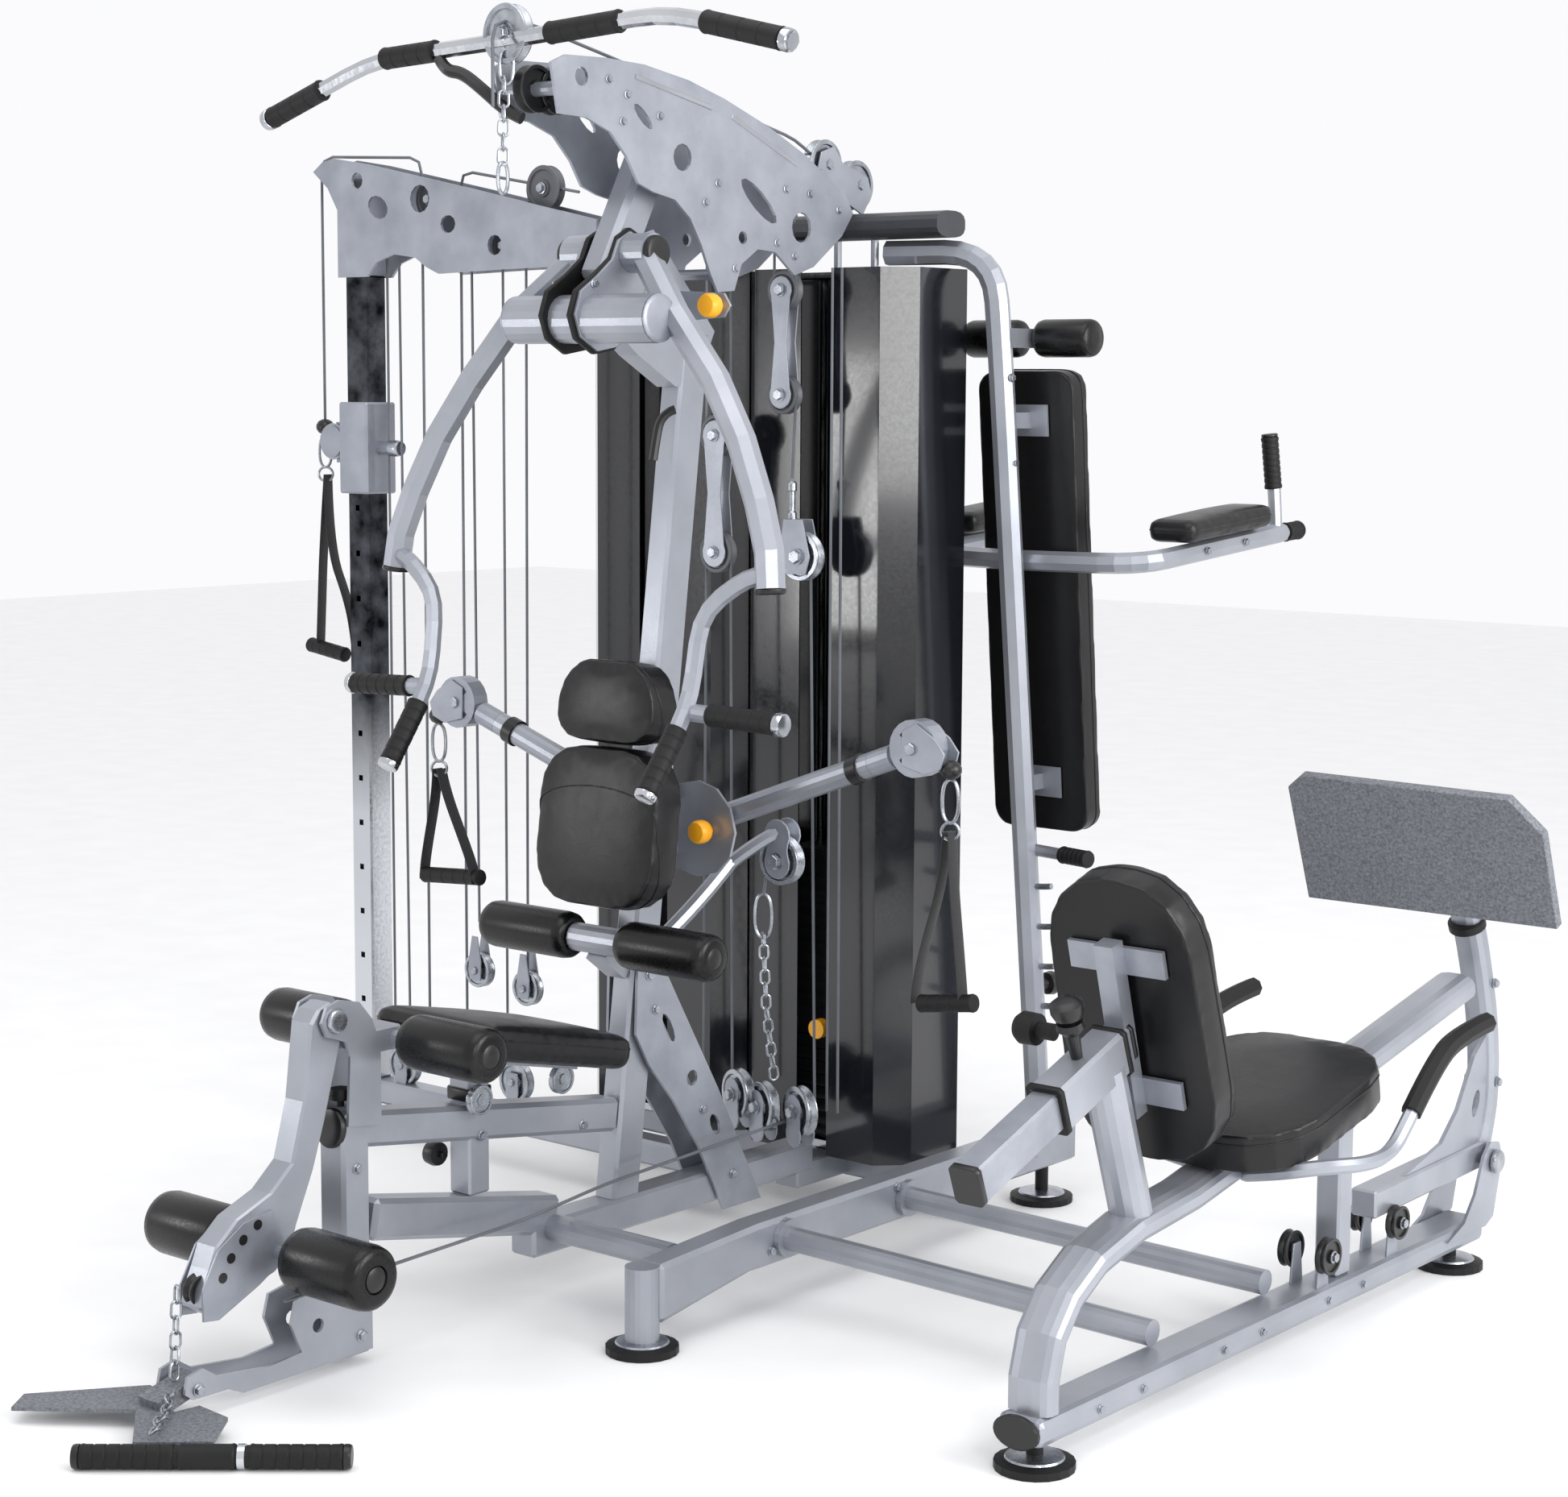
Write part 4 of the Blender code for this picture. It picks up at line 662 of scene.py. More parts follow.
def hand_strap(name, body, ring, left, right, neck=0.30):
    """Ring at the top, webbing down both sides, grip across the bottom."""
    made = []
    across = (right - left).normalized()
    for end in (left, right):
        drop = end - ring
        u = drop.dot(across)
        plane = Matrix((across, Vector((0, 0, 1)), across.cross(Vector((0, 0, 1))))).transposed().to_4x4()
        sag = drop.z - across.z * u
        points = [(0.006 * math.copysign(1, u), 0.0), (u * 0.16, sag * neck), (u * 0.75, sag * 0.72),
                  (u * 0.97, sag * 0.95), (u, sag - 0.010)]
        made.append(webbing(points, 0.024, Matrix.Translation(ring) @ plane))
    finished(joined(made), name + "_webbing", body, woven)
    finished(grip(left - across * 0.004, right + across * 0.004, 0.0155, 4), name + "_grip", body, rubber)
    bpy.ops.mesh.primitive_torus_add(major_radius=0.015, minor_radius=0.0028, major_segments=24, minor_segments=8,
                                     location=ring, rotation=(math.radians(90), 0, math.radians(40)))
    finished(bpy.context.object, name + "_ring", body, zinc)


low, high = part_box("cable_column")
cable_x = low.x - HOME.x + 0.003
ball = [(0.006, 0.0), (0.014, 0.004), (0.019, 0.012), (0.019, 0.020), (0.014, 0.028), (0.006, 0.032)]
finished(spun(ball, at(cable_x, 0.700, 1.496), (0, 0, 1), 24), "column_cable_stop", "column_carriage", black_nylon)
finished(spring_hook(at(cable_x, 0.700, 1.494), 0.070, 0.6), "column_spring_hook", "column_carriage", zinc)
hand_strap("column_hand_strap", "column_carriage", at(cable_x, 0.700, 1.412), at(cable_x - 0.052, 0.700, 1.045),
           at(cable_x + 0.052, 0.700, 1.030), 0.42)
column_x = (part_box("column_tube")[0].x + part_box("column_tube")[1].x) / 2 - HOME.x
finished(pulley(at(column_x - 0.092, 0.7005, 1.482), (0, 1, 0), 0.038, 0.034), "carriage_pulley", "column_carriage",
         zinc)
finished(end_cap(at(column_x + 0.0755, 0.700, 1.470), (1, 0, 0), 0.017, 0.026), "carriage_pop_knob",
         "column_carriage", zinc)

# ------------------------------------------------------------------ swing arms
# Each arm pivots behind the backrest and ends in a swivelling pulley between two cheeks with
# crescent slots; a spring hook on its cable carries a hand strap.
for way, side in ((-1, "left"), (1, "right")):
    body = "swivel_head_" + side
    root = at(SX + way * 0.082, 0.482, 0.820)
    tip = at(SX + way * 0.455, 0.470, 0.955)
    line = (tip - root).normalized()
    disc = tip + line * 0.105
    collar = spun([(0.0225, 0.0), (0.0262, 0.001), (0.0262, 0.024), (0.0225, 0.025)], tip - line * 0.050, line, 24)
    finished(collar, "swing_arm_collar_" + side, "swing_arm_" + side, black_nylon)
    for face in (-1, 1):
        hub = disc + Vector((0, face * 0.0185, 0))
        # Each crescent slot is drawn as a thin black crescent sheet on the head's face: painted shadow where the slot
        # opens through the plate.
        for number, middle in enumerate((90, 270)):
            ring = []
            for step in range(13):
                angle = math.radians(middle - 52 + 104 * step / 12)
                ring.append((0.035 * math.cos(angle), 0.035 * math.sin(angle)))
            for step in range(12, -1, -1):
                angle = math.radians(middle - 52 + 104 * step / 12)
                ring.append((0.026 * math.cos(angle), 0.026 * math.sin(angle)))
            painted_slot_shadow = cut_plate(ring, 0.0012, facing("Y", hub), 0.0003)
            finished(painted_slot_shadow, "swivel_slot_%s_%d_%d" % (side, face > 0, number), body, black_nylon)
    bolts("swivel_bolts_" + side, body, [(disc + Vector((0, -0.0182, 0)), (0, -1, 0)),
                                         (disc + Vector((0, 0.0182, 0)), (0, 1, 0))], 1.3)
    nose = [(-0.020, -0.030), (0.030, -0.042), (0.062, -0.030), (0.070, -0.004), (0.050, 0.020), (0.010, 0.044),
            (-0.020, 0.030)]
    nose = [(way * u, v) for u, v in nose][::way]
    for y in (-0.0205, 0.0205):
        cheek = cut_plate(nose, 0.004, facing("Y", disc + Vector((0, y, 0))))
        finished(cheek, "swivel_cheek_%s_%d" % (side, y > 0), body, plate_silver)
    hang = disc + Vector((way * 0.068, 0, -0.012))
    stop = spun(ball, hang + Vector((0, 0, -0.036)), (0, 0, 1), 24)
    finished(stop, "swing_cable_stop_" + side, body, black_nylon)
    finished(spring_hook(hang + Vector((0, 0, -0.034)), 0.080, 0.3), "swing_spring_hook_" + side, body, zinc)
    ring = hang + Vector((0, 0, -0.125))
    if way > 0:
        hand_strap("swing_hand_strap_right", body, ring, ring + Vector((-0.055, 0.0, -0.305)),
                   ring + Vector((0.052, 0.0, -0.290)), 0.25)
    else:
        hand_strap("swing_hand_strap_left", body, ring, ring + Vector((-0.040, 0.0, -0.215)),
                   ring + Vector((0.110, 0.0, -0.205)), 0.20)

# ------------------------------------------------------------------ adjustment knobs
# Amber moulded knobs pull the spring pins of the arms and of the press start setting.
dome = [(0.008, 0.0), (0.008, 0.012), (0.019, 0.014), (0.0215, 0.020), (0.0215, 0.034), (0.018, 0.040),
        (0.010, 0.042)]
for name, body, spot in (("swing_arm_knob", "frame", (-0.238, 0.4435, 0.806)),
                         ("swing_arm_knob_left", "frame", (-0.442, 0.4435, 0.806)),
                         ("press_start_knob", "frame", (-0.214, 0.440, 1.742))):
    finished(spun(dome, at(*spot), (0, -1, 0), 24), name, body, amber_nylon)
ear = [(-0.318, 1.715), (-0.205, 1.722), (-0.190, 1.742), (-0.205, 1.764), (-0.318, 1.770)]
finished(cut_plate(ear, 0.005, facing("Y", at(0, 0.443, 0))), "press_start_ear", "frame", plate_silver)
finished(bent_tube([at(SX + 0.030, 0.430, 1.560), at(SX + 0.012, 0.412, 1.552), at(SX + 0.006, 0.404, 1.500),
                    at(SX + 0.004, 0.400, 1.470)], 0.008), "press_latch_lever", "frame", black_nylon)

# ------------------------------------------------------------------ pulley tackle over the stacks
# Pairs of pulleys in dog-bone plates share the pull between the stations; a chain drops to the
# floor pulleys.  Cables and plates are bright steel.


def dog_bone(span, end, waist, turns=10):
    """Outline of a plate with a round eye at each end and a narrow middle; long way up."""
    ring = []
    for step in range(turns + 1):
        angle = math.radians(-30 + 240 * step / turns)
        ring.append((end * math.cos(angle), span / 2 + end * math.sin(angle)))
    ring.append((-waist, 0.0))
    for step in range(turns + 1):
        angle = math.radians(150 + 240 * step / turns)
        ring.append((end * math.cos(angle), -span / 2 + end * math.sin(angle)))
    ring.append((waist, 0.0))
    return ring


def block_and_plates(name, spots, radius, waist=0.62):
    """Pulleys between two dog-bone plates, with a bolt through each."""
    a, b = (at(*spot) for spot in spots)
    middle = (a + b) / 2
    span = (a - b).length
    lean = Matrix.Rotation(-math.atan2(b.x - a.x, a.z - b.z), 4, "Z")
    for face in (-1, 1):
        side = cut_plate(dog_bone(span, radius * 0.72, radius * waist), 0.003,
                         facing("Y", middle + Vector((0, face * 0.0135, 0))) @ lean)
        finished(side, "%s_plate_%d" % (name, face > 0), "frame", plate_silver)
    wheels = [pulley(spot, (0, 1, 0), radius) for spot in (a, b)]
    finished(joined(wheels), name + "_wheels", "frame", nylon_grey)
    bolts(name + "_bolts", "frame", [(spot + Vector((0, face * 0.015, 0)), (0, face, 0)) for spot in (a, b)
                                     for face in (-1, 1)], 1.2)


block_and_plates("upper_tackle", ((-0.345, 0.780, 1.781), (-0.345, 0.780, 1.586)), 0.036, 0.40)
block_and_plates("lower_tackle", ((-0.509, 0.780, 1.508), (-0.509, 0.780, 1.284)), 0.040, 0.40)
lines = [bent_tube([at(x0, 0.780, z0), at((x0 + x1) / 2, 0.780, (z0 + z1) / 2), at(x1, 0.780, z1)], 0.0028, 8)
         for x0, z0, x1, z1 in ((-0.372, 1.781, -0.372, 1.875), (-0.320, 1.781, -0.330, 1.920),
                                (-0.318, 1.586, -0.326, 1.430), (-0.540, 1.508, -0.540, 1.870),
                                (-0.478, 1.508, -0.480, 1.870), (-0.540, 1.284, -0.545, 0.230),
                                (-0.478, 1.284, -0.470, 0.230), (-0.280, 1.284, -0.262, 0.240),
                                (-0.232, 1.820, -0.232, 0.225), (-0.210, 1.820, -0.206, 0.225))]
finished(joined(lines), "tackle_cables", "frame", jacket)
fitting = spun([(0.006, 0.0), (0.009, 0.002), (0.009, 0.020), (0.006, 0.024), (0.006, 0.060), (0.009, 0.062),
                (0.009, 0.076), (0.005, 0.080)], at(-0.326, 0.780, 1.345), (0, 0, 1), 12)
finished(fitting, "threaded_cable_end", "frame", zinc)
finished(pulley(at(-0.300, 0.780, 1.284), (0, 1, 0), 0.046, 0.024), "floating_tackle_pulley", "frame", zinc)
for face in (-1, 1):
    yoke = cut_plate([(-0.030, -0.034), (0.020, -0.034), (0.030, 0.000), (0.012, 0.070), (-0.034, 0.070),
                      (-0.044, 0.000)], 0.003, facing("Y", at(-0.300, 0.780 + face * 0.0150, 1.284)))
    finished(yoke, "floating_tackle_yoke_%d" % (face > 0), "frame", plate_silver)
bolts("floating_tackle_bolt", "frame", [(at(-0.300, 0.7635, 1.284), (0, -1, 0))], 1.5)
finished(pulley(at(-0.214, 0.620, 0.733), (0, 1, 0), 0.046, 0.024), "leg_pull_pulley", "frame", zinc)
cheek = dog_bone(0.052, 0.030, 0.024)
for face in (-1, 1):
    side = cut_plate(cheek, 0.004, facing("Y", at(-0.213, 0.620 + face * 0.0155, 0.755)))
    finished(side, "leg_pull_cheek_%d" % (face > 0), "frame", plate_silver)
bolts("leg_pull_bolt", "frame", [(at(-0.214, 0.6025, 0.733), (0, -1, 0))], 1.5)
strut = [bent_tube([at(-0.207, 0.620, 0.790), at(-0.235, 0.600, 0.780), at(-0.290, 0.560, 0.725)], 0.013),
         bent_tube([at(-0.290, 0.560, 0.728), at(-0.300, 0.470, 0.650), at(-0.322, 0.385, 0.590)], 0.015)]
finished(joined(strut), "leg_pull_bracket", "frame", powder_silver)
drop = bent_tube([at(-0.246, 0.620, 0.733), at(-0.252, 0.620, 0.700), at(-0.258, 0.620, 0.664)], 0.003, 8)
finished(drop, "leg_pull_cable", "frame", jacket)
finished(spring_hook(at(-0.258, 0.620, 0.668), 0.090, 0.4), "chain_spring_hook", "frame", zinc)
finished(chain([at(-0.258, 0.620, 0.578), at(-0.258, 0.630, 0.440), at(-0.262, 0.660, 0.300)], 0.0240),
         "leg_pull_chain", "frame", zinc)
for number, (x, z) in enumerate(((-0.385, 0.250), (-0.323, 0.235), (-0.232, 0.240))):
    finished(pulley(at(x, 0.700, z), (0.35, 1, 0), 0.048, 0.022), "floor_guide_pulley_%d" % (number + 1), "frame",
             zinc)
    for face in (-1, 1):
        side = cut_plate([(u, v - 0.018) for u, v in dog_bone(0.050, 0.026, 0.024)], 0.003,
                         Matrix.Translation(Vector((face * 0.005, face * 0.0145, 0)))
                         @ facing("Y", at(x, 0.700, z)) @ Matrix.Rotation(math.radians(-19), 4, "Y"))
        finished(side, "floor_guide_cheek_%d_%d" % (number + 1, face > 0), "frame", plate_silver)
    bolts("floor_guide_bolt_%d" % (number + 1), "frame", [(at(x - 0.006, 0.684, z), (-0.35, -1, 0))], 1.3)

# ------------------------------------------------------------------ weight stacks
# Cast-iron plates, 25 mm thick with eased edges, painted black; the lifting ones ride on the
# guide rods and each has a drilled hole for the selector pin.
iron = worked_finish("black_painted_cast_iron", ("#141518", "#212226"), 0.45, 0.3, 2.4, 0.35)
for side in ("left", "right"):
    for node, body in (("tower_frame_" + side, "frame"), ("weight_stack_" + side, "stack_" + side)):
        finish_nodes(chrome if body == "frame" else iron, node)
    low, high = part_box("weight_stack_" + side)
    middle = (low + high) / 2
    for body, first, last in (("stack_" + side, 0.331, 0.699), ("frame", 0.127, 0.329)):
        count = round((last - first) / 0.0254)
        pitch = (last - first) / count
        outline = [(u * (0.1262 - c) , v * (0.0562 - d)) for u, v, c, d in
                   ((1, -1, 0.006, 0), (1, -1, 0, 0.006), (1, 1, 0, 0.006), (1, 1, 0.006, 0), (-1, 1, 0.006, 0),
                    (-1, 1, 0, 0.006), (-1, -1, 0, 0.006), (-1, -1, 0.006, 0))]
        one = cut_plate(outline, pitch - 0.0012, Matrix.Translation((middle.x, middle.y, first + pitch / 2)), 0.0016)
        plates = [one] + [copied(one, Matrix.Translation((0, 0, pitch * step))) for step in range(1, count)]
        finished(joined(plates), "weight_plates_%s_%s" % (side, body[:5]), body, iron)

# ------------------------------------------------------------------ leg developer and seat
# The seat beam carries the leg lever on a pivot pin; cable wheels, end plugs and the seat's
# clamp are nylon and bright bolts.
finished(pulley(at(SX, -0.655, 0.193), (1, 0, 0), 0.026, 0.022), "lever_end_wheel", "leg_lever", black_nylon)
cheek = [(-0.672, 0.150), (-0.640, 0.146), (-0.560, 0.182), (-0.520, 0.205), (-0.505, 0.240), (-0.530, 0.300),
         (-0.590, 0.290), (-0.640, 0.258), (-0.672, 0.200)]
for way in (-1, 1):
    side = cut_plate(cheek, 0.004, facing("X", at(SX + way * 0.0272, 0, 0)))
    finished(side, "lever_cheek_%d" % (way > 0), "leg_lever", plate_silver)
    # Black discs on the cheek faces stand for the adjusting holes: painted shadow inside each hole.
    for number, (y, z) in enumerate(((-0.560, 0.282), (-0.590, 0.264), (-0.615, 0.240), (-0.632, 0.212))):
        painted_hole_shadow = spun([(0.0085, 0.0), (0.0085, 0.0007)], at(SX + way * 0.0293, y, z), (way, 0, 0), 16)
        finished(painted_hole_shadow, "lever_hole_%d_%d" % (way > 0, number), "leg_lever", black_nylon)
    finished(end_cap(at(SX + way * 0.0358, -0.396, 0.584), (way, 0, 0), 0.020, 0.007),
             "lever_pivot_cap_%d" % (way > 0), "frame", zinc)
bolts("seat_bolts", "frame", [(at(SX + way * 0.0302, y, z), (way, 0, 0)) for way in (-1, 1) for y, z in
                              ((-0.350, 0.330), (-0.350, 0.200), (0.185, 0.300), (-0.065, 0.330))], 0.9)
finished(end_cap(at(SX, -0.3735, 0.3977), (0, -1, 0.15), 0.0330, 0.012), "seat_beam_plug", "frame", black_nylon)
finished(spun([(0.006, 0.0), (0.006, 0.012), (0.020, 0.014), (0.022, 0.022), (0.020, 0.036), (0.010, 0.038)],
              at(SX - 0.0302, -0.094, 0.290), (-1, 0, 0), 20), "seat_height_knob", "frame", black_nylon)
finished(spun([(0.006, 0.0), (0.006, 0.010), (0.018, 0.012), (0.020, 0.020), (0.018, 0.030), (0.010, 0.032)],
              at(SX, -0.357, 0.431), (0, 0, 1), 20), "lever_stop_bumper", "frame", rubber)
sleeve = [(u * 0.0295, v * 0.0295) for u, v in ((1, -0.8), (1, 0.8), (0.8, 1), (-0.8, 1), (-1, 0.8), (-1, -0.8),
                                                (-0.8, -1), (0.8, -1))]
finished(cut_plate(sleeve, 0.022, Matrix.Translation(at(SX, -0.065, 0.402)), 0.002), "seat_post_collar", "frame",
         black_nylon)
for number, y in enumerate((-0.090, 0.110)):
    wheel = pulley(at(SX + 0.050, y, 0.400), (1, 0, 0), 0.026, 0.014)
    finished(wheel, "seat_guide_wheel_%d" % (number + 1), "frame", zinc)

# ------------------------------------------------------------------ low row
# A chain and snap hook join the lever's foot to a straight bar with two rubber grips and a
# thicker middle; the user braces against a folding steel foot plate with a grit coating.
a = at(-0.281, -0.945, 0.019)
b = at(0.033, -0.679, 0.019)
along = (b - a).normalized()
run = (b - a).length
row = [grip(a + along * 0.010, a + along * 0.150, 0.0185, 6), grip(b - along * 0.150, b - along * 0.010, 0.0185, 6),
       grip(a + along * 0.156, b - along * 0.170, 0.0187, 0)]
finished(joined(row), "row_bar_grips", "row_bar", rubber)
ring = spun([(0.0175, 0.0), (0.0192, 0.001), (0.0192, 0.012), (0.0175, 0.013)], b - along * 0.168, along, 24)
finished(ring, "row_bar_ring", "row_bar", chrome)
for name, spot, way in (("near", a, -along), ("far", b, along)):
    finished(end_cap(spot - way * 0.010, way, 0.0188, 0.012), "row_bar_cap_" + name, "row_bar", black_nylon)
finished(chain([at(SX, -0.700, 0.196), at(SX + 0.002, -0.706, 0.120), at(SX + 0.010, -0.716, 0.072)], 0.0240),
         "row_chain", "leg_lever", zinc)
finished(chain([at(SX + 0.014, -0.728, 0.046), at(SX + 0.060, -0.770, 0.044), at(SX + 0.115, -0.840, 0.042)], 0.0240),
         "row_bar_chain", "row_bar", zinc)
grit = worked_finish("grey_grit_coated_steel", ("#5b5e64", "#84878d"), 0.7, 0.25, 3.0, 0.55, 0.12, 5)
finish_nodes(grit, "row_foot_plate")
finish_nodes(rubber, "row_bar")
bolts("row_fork_bolts", "frame", [(at(SX + way * 0.0358, y, z), (way, 0, 0)) for way in (-1, 1) for y, z in
                                  ((-0.690, 0.048), (-0.380, 0.120), (-0.350, 0.050))], 1.0)

# ------------------------------------------------------------------ knee raise
# Padded backrest and armrests on a forked tube, with upright grips, rubber end caps and a
# step peg beside the uprights.
for way, side in ((-1, "left"), (1, "right")):
    a = at(KX + way * 0.262, 1.620, 1.405)
    b = at(KX + way * 0.255, 1.612, 1.508)
    finished(grip(a, b, 0.0170, 8), "knee_grip_" + side, "frame", rubber)
    finished(end_cap(b, b - a, 0.0165, 0.006), "knee_grip_cap_" + side, "frame", black_nylon)
    a = at(KX + way * 0.270, 1.652, 1.318)
    b = at(KX + way * 0.270, 1.708, 1.3208)
    finished(grip(a, b, 0.0185, 7), "knee_arm_plug_" + side, "frame", rubber)
    bolts("knee_arm_bolts_" + side, "frame", [(at(KX + way * 0.2905, y, 1.278 + (y - 1.131) * 0.0825), (way, 0, 0))
                                              for y in (1.330, 1.470)], 0.8)
hook_bar = bent_tube([at(KX + 0.030, 1.150, 0.710), at(KX + 0.100, 1.135, 0.710),
                      at(KX + 0.165, 1.120, 0.710)], 0.012)
finished(hook_bar, "step_peg", "frame", powder_silver)
finished(grip(at(KX + 0.100, 1.135, 0.710), at(KX + 0.172, 1.1185, 0.710), 0.0165, 5), "step_peg_sleeve", "frame",
         rubber)
for number, z in enumerate((0.640, 0.560, 0.480, 0.400)):
    y = 1.185 - (z - 0.200) * 0.0931
    peg = bent_tube([at(KX + 0.026, y, z), at(KX + 0.048, y, z), at(KX + 0.070, y, z + 0.004)], 0.0065, 8)
    finished(peg, "storage_hook_%d" % (number + 1), "frame", zinc)
bolts("rear_upright_bolts", "frame", [(at(KX + 0.0225, 1.185 - (z - 0.200) * 0.0931, z), (1, 0, 0))
                                      for z in (0.30, 0.92, 1.06, 1.46, 1.62)], 0.8)
finished(spun([(0.010, 0.0), (0.012, 0.030), (0.022, 0.034), (0.024, 0.048), (0.020, 0.060), (0.010, 0.062)],
              at(KX - 0.010, 1.206, 0.428), (0.2, 1, 0), 20), "storage_knob", "frame", black_nylon)

# ------------------------------------------------------------------ leg press
# The backrest slides in a boxed sleeve and locks with a knob; the lever turns on a pin at the
# floor rail and carries a gritted tread.  Side handles are bent bar with black sleeves.
tread = cut_plate([(-0.238, -0.128), (0.248, -0.128), (0.248, 0.057), (0.192, 0.121), (-0.207, 0.128),
                   (-0.238, 0.102)], 0.020,
                  Matrix.Translation(at(LX, 1.150, 0.800)) @ Matrix.Rotation(math.radians(22), 4, "X")
                  @ Matrix(facings["Y"]).transposed().to_4x4(), 0.0015)
finished(tread, "leg_press_tread", "leg_press_lever", grit)
for way, side in ((-1, "left"), (1, "right")):
    x = LX + way * 0.225
    bar = bent_tube([at(LX + way * 0.035, 0.520, 0.345), at(LX + way * 0.120, 0.470, 0.372),
                     at(LX + way * 0.190, 0.500, 0.388), at(x, 0.570, 0.384), at(x, 0.650, 0.386),
                     at(x, 0.700, 0.425), at(x, 0.800, 0.515), at(x, 0.880, 0.540), at(x, 0.975, 0.546)], 0.0125)
    finished(bar, "leg_press_handle_" + side, "frame", powder_silver)
    sleeve = bent_tube([at(x, 0.715, 0.440), at(x, 0.800, 0.515), at(x, 0.880, 0.540), at(x, 0.978, 0.546)], 0.0175)
    finished(sleeve, "leg_press_handle_sleeve_" + side, "frame", rubber)
    finished(end_cap(at(LX + way * 0.0475, 1.400, 0.190), (way, 0, 0), 0.022, 0.010),
             "leg_press_pin_cap_" + side, "frame", zinc)
stop = spun([(0.014, 0.0), (0.014, 0.030), (0.026, 0.032), (0.027, 0.060), (0.020, 0.070)],
            at(LX - 0.190, 0.300, 0.582), (-1, 0, 0), 24)
finished(stop, "leg_back_side_grip", "leg_back", rubber)
oval = [(0.041 * math.cos(t * math.tau / 20), 0.0265 * math.sin(t * math.tau / 20)) for t in range(20)]
finished(cut_plate(oval, 0.010, facing("Y", at(LX, -0.0635, 0.0675)), 0.002), "leg_rail_plug", "frame", black_nylon)
slide_way = Vector((0, math.cos(math.radians(20)), math.sin(math.radians(20))))
mouth = at(LX, 0.092, 0.574)
turn = Matrix.Rotation(math.radians(20), 4, "X")
for name, run, body, w, h, deep, finish in (
        ("slide_low_plug", -0.304, "leg_back", 0.052, 0.064, 0.012, black_nylon),
        ("slide_high_plug", 0.116, "leg_back", 0.049, 0.061, 0.008, black_nylon),
        ("sleeve_low_band", -0.090, "frame", 0.0655, 0.0795, 0.010, rubber),
        ("sleeve_high_band", 0.086, "frame", 0.0655, 0.0795, 0.010, rubber)):
    c = 0.006
    box = [(w / 2 - c, -h / 2), (w / 2, -h / 2 + c), (w / 2, h / 2 - c), (w / 2 - c, h / 2), (c - w / 2, h / 2),
           (-w / 2, h / 2 - c), (-w / 2, c - h / 2), (c - w / 2, -h / 2)]
    stand = Matrix.Translation(mouth + slide_way * run) @ turn @ Matrix(facings["Y"]).transposed().to_4x4()
    finished(cut_plate(box, deep, stand, 0.0015), name, body, finish)
finished(spun([(0.009, 0.0), (0.009, 0.018), (0.022, 0.022), (0.026, 0.032), (0.026, 0.044), (0.018, 0.050),
               (0.008, 0.051)], mouth + Vector((0, -math.sin(math.radians(20)), math.cos(math.radians(20)))) * 0.085,
              Vector((0, -0.342, 0.940)), 24), "slide_lock_knob", "leg_back_knob", black_nylon)
for name, spot, r in (("leg_rail_pulley_1", (LX, 1.046, 0.150), 0.030),
                      ("leg_rail_pulley_2", (LX, 0.800, 0.145), 0.032)):
    for way in (-1, 1):
        wheel = pulley(at(spot[0] + way * 0.036, spot[1], spot[2]), (1, 0, 0), r, 0.018)
        finished(wheel, "%s_%d" % (name, way > 0), "frame", black_nylon)
        bolts("%s_bolt_%d" % (name, way > 0), "frame",
              [(at(spot[0] + way * 0.0455, spot[1], spot[2]), (way, 0, 0))],
              1.0)
        lug = [(spot[1] - 0.020, 0.088), (spot[1] + 0.020, 0.088), (spot[1] + 0.012, spot[2] + 0.012),
               (spot[1] - 0.012, spot[2] + 0.012)]
        finished(cut_plate(lug, 0.004, facing("X", at(LX + way * 0.0252, 0, 0))), "%s_lug_%d" % (name, way > 0),
                 "frame", plate_silver)
bolts("leg_rail_bolts", "frame", [(at(LX + way * 0.0402, y, 0.068), (way, 0, 0)) for way in (-1, 1)
                                  for y in (0.10, 0.22, 0.46, 0.58, 0.80, 0.92)], 0.7)
bolts("leg_lever_bolts", "leg_press_lever", [(at(LX + way * 0.0285, y, z), (way, 0, 0)) for way in (-1, 1)
                                             for y, z in ((1.436, 0.330), (1.410, 0.520))], 0.9)
finished(spun([(0.030, 0.0), (0.034, 0.002), (0.034, 0.016), (0.030, 0.018)], at(LX, 1.352, 0.628),
              (0, -0.42, 0.9), 24), "lever_post_collar", "leg_press_lever", rubber)

# ------------------------------------------------------------------ bolted joints of the base
# Zinc hexagon bolts on washers clamp the rails, gussets and link tubes together.
bolts("base_bolts", "frame",
      [(at(0.0302, y, z), (1, 0, 0)) for y, z in ((0.339, 0.152), (0.300, 0.110), (0.378, 0.110), (0.660, 0.148),
                                                 (0.720, 0.100), (1.10, 0.123))]
      + [(at(SX + way * 0.0378, y, z), (way, 0, 0)) for way in (-1, 1) for y, z in
         ((0.352, 0.545), (0.370, 0.480), (0.585, 0.130), (0.500, 0.270))], 0.9)
for number, (x, y) in enumerate(((0.0, 0.0), (-0.02, 1.20), (LX, -0.015), (LX, 1.32))):
    z = 0.0165
    ring = spun([(0.046, 0.0), (0.044, 0.003), (0.020, 0.006)], at(x, y, z), (0, 0, 1), 32)
    finished(ring, "foot_washer_%d" % (number + 1), "frame", zinc)

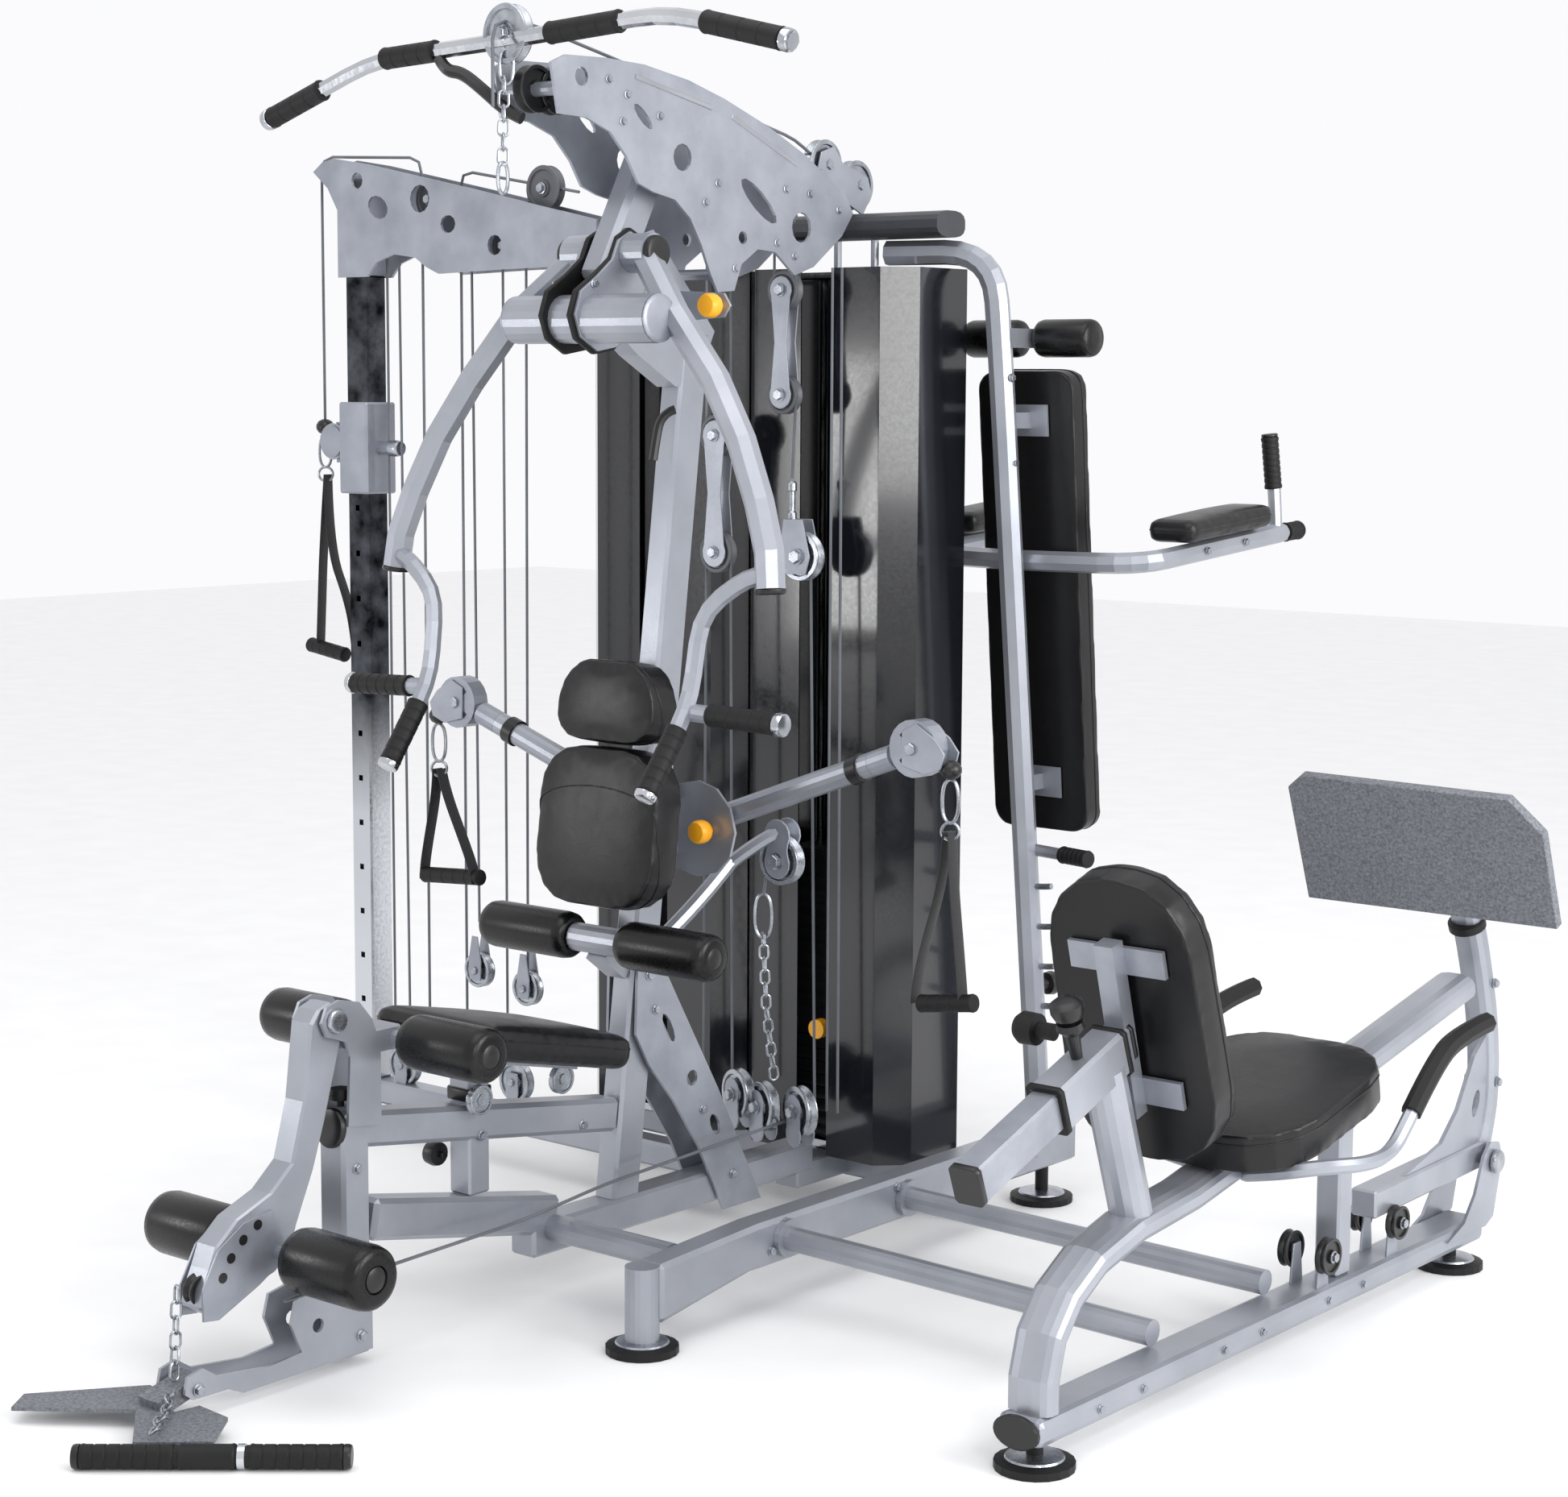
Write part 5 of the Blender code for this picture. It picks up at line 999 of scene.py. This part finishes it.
# ------------------------------------------------------------------ floor, light and camera
# A pale seamless floor under soft studio light; the brighter bank stands on the leg-press side.
bpy.context.scene.frame_set(1)
nothing_selected()
bpy.ops.mesh.primitive_plane_add(size=30.0, location=(0, 0, -0.0005))
floor = bpy.context.object
floor.name = "studio_floor"
floor.data.materials.append(worked_finish("pale_floor", ("#f2f2f2", "#f6f6f6"), 0.75, 0.0, 8.0, 0.02))

world = bpy.data.worlds.new("studio")
bpy.context.scene.world = world
world.use_nodes = True
world.node_tree.nodes["Background"].inputs["Color"].default_value = linear("#fbfbfd")
world.node_tree.nodes["Background"].inputs["Strength"].default_value = 1.0
bpy.context.scene.view_settings.view_transform = "Standard"


def soft_bank(name, spot, aim, size, power):
    """A rectangular softbox that faces a point on the object."""
    lamp = bpy.data.lights.new(name, "AREA")
    lamp.shape = "RECTANGLE"
    lamp.size, lamp.size_y = size
    lamp.energy = power
    ob = bpy.data.objects.new(name, lamp)
    bpy.context.scene.collection.objects.link(ob)
    ob.location = spot
    ob.rotation_euler = (Vector(aim) - Vector(spot)).to_track_quat("-Z", "Y").to_euler()


soft_bank("right_bank", (4.2, 0.6, 2.2), (0.0, 0.2, 0.9), (2.4, 2.6), 120)
soft_bank("top_bank", (0.6, -1.0, 4.2), (0.0, 0.2, 0.6), (3.0, 3.0), 45)
soft_bank("front_right_bank", (3.44, -1.99, 1.95), (0.1, 0.5, 1.6), (0.8, 1.4), 26)
soft_bank("front_left_bank", (-2.4, -2.7, 1.25), (0.0, 0.5, 1.3), (0.5, 0.9), 12)

camera_data = bpy.data.cameras.new("camera")
camera_data.sensor_width = 36.0
camera_data.lens = 67.52
camera = bpy.data.objects.new("camera", camera_data)
bpy.context.scene.collection.objects.link(camera)
camera.matrix_world = (Matrix.Translation((3.4518, -3.89956, 1.6)) @ Matrix.Rotation(math.radians(39.5), 4, "Z")
                       @ Matrix.Rotation(math.radians(83.0), 4, "X") @ Matrix.Rotation(math.radians(0.3), 4, "Z"))
bpy.context.scene.camera = camera

bpy.data.objects.remove(bolt_shape, do_unlink=True)
bpy.data.objects.remove(link, do_unlink=True)
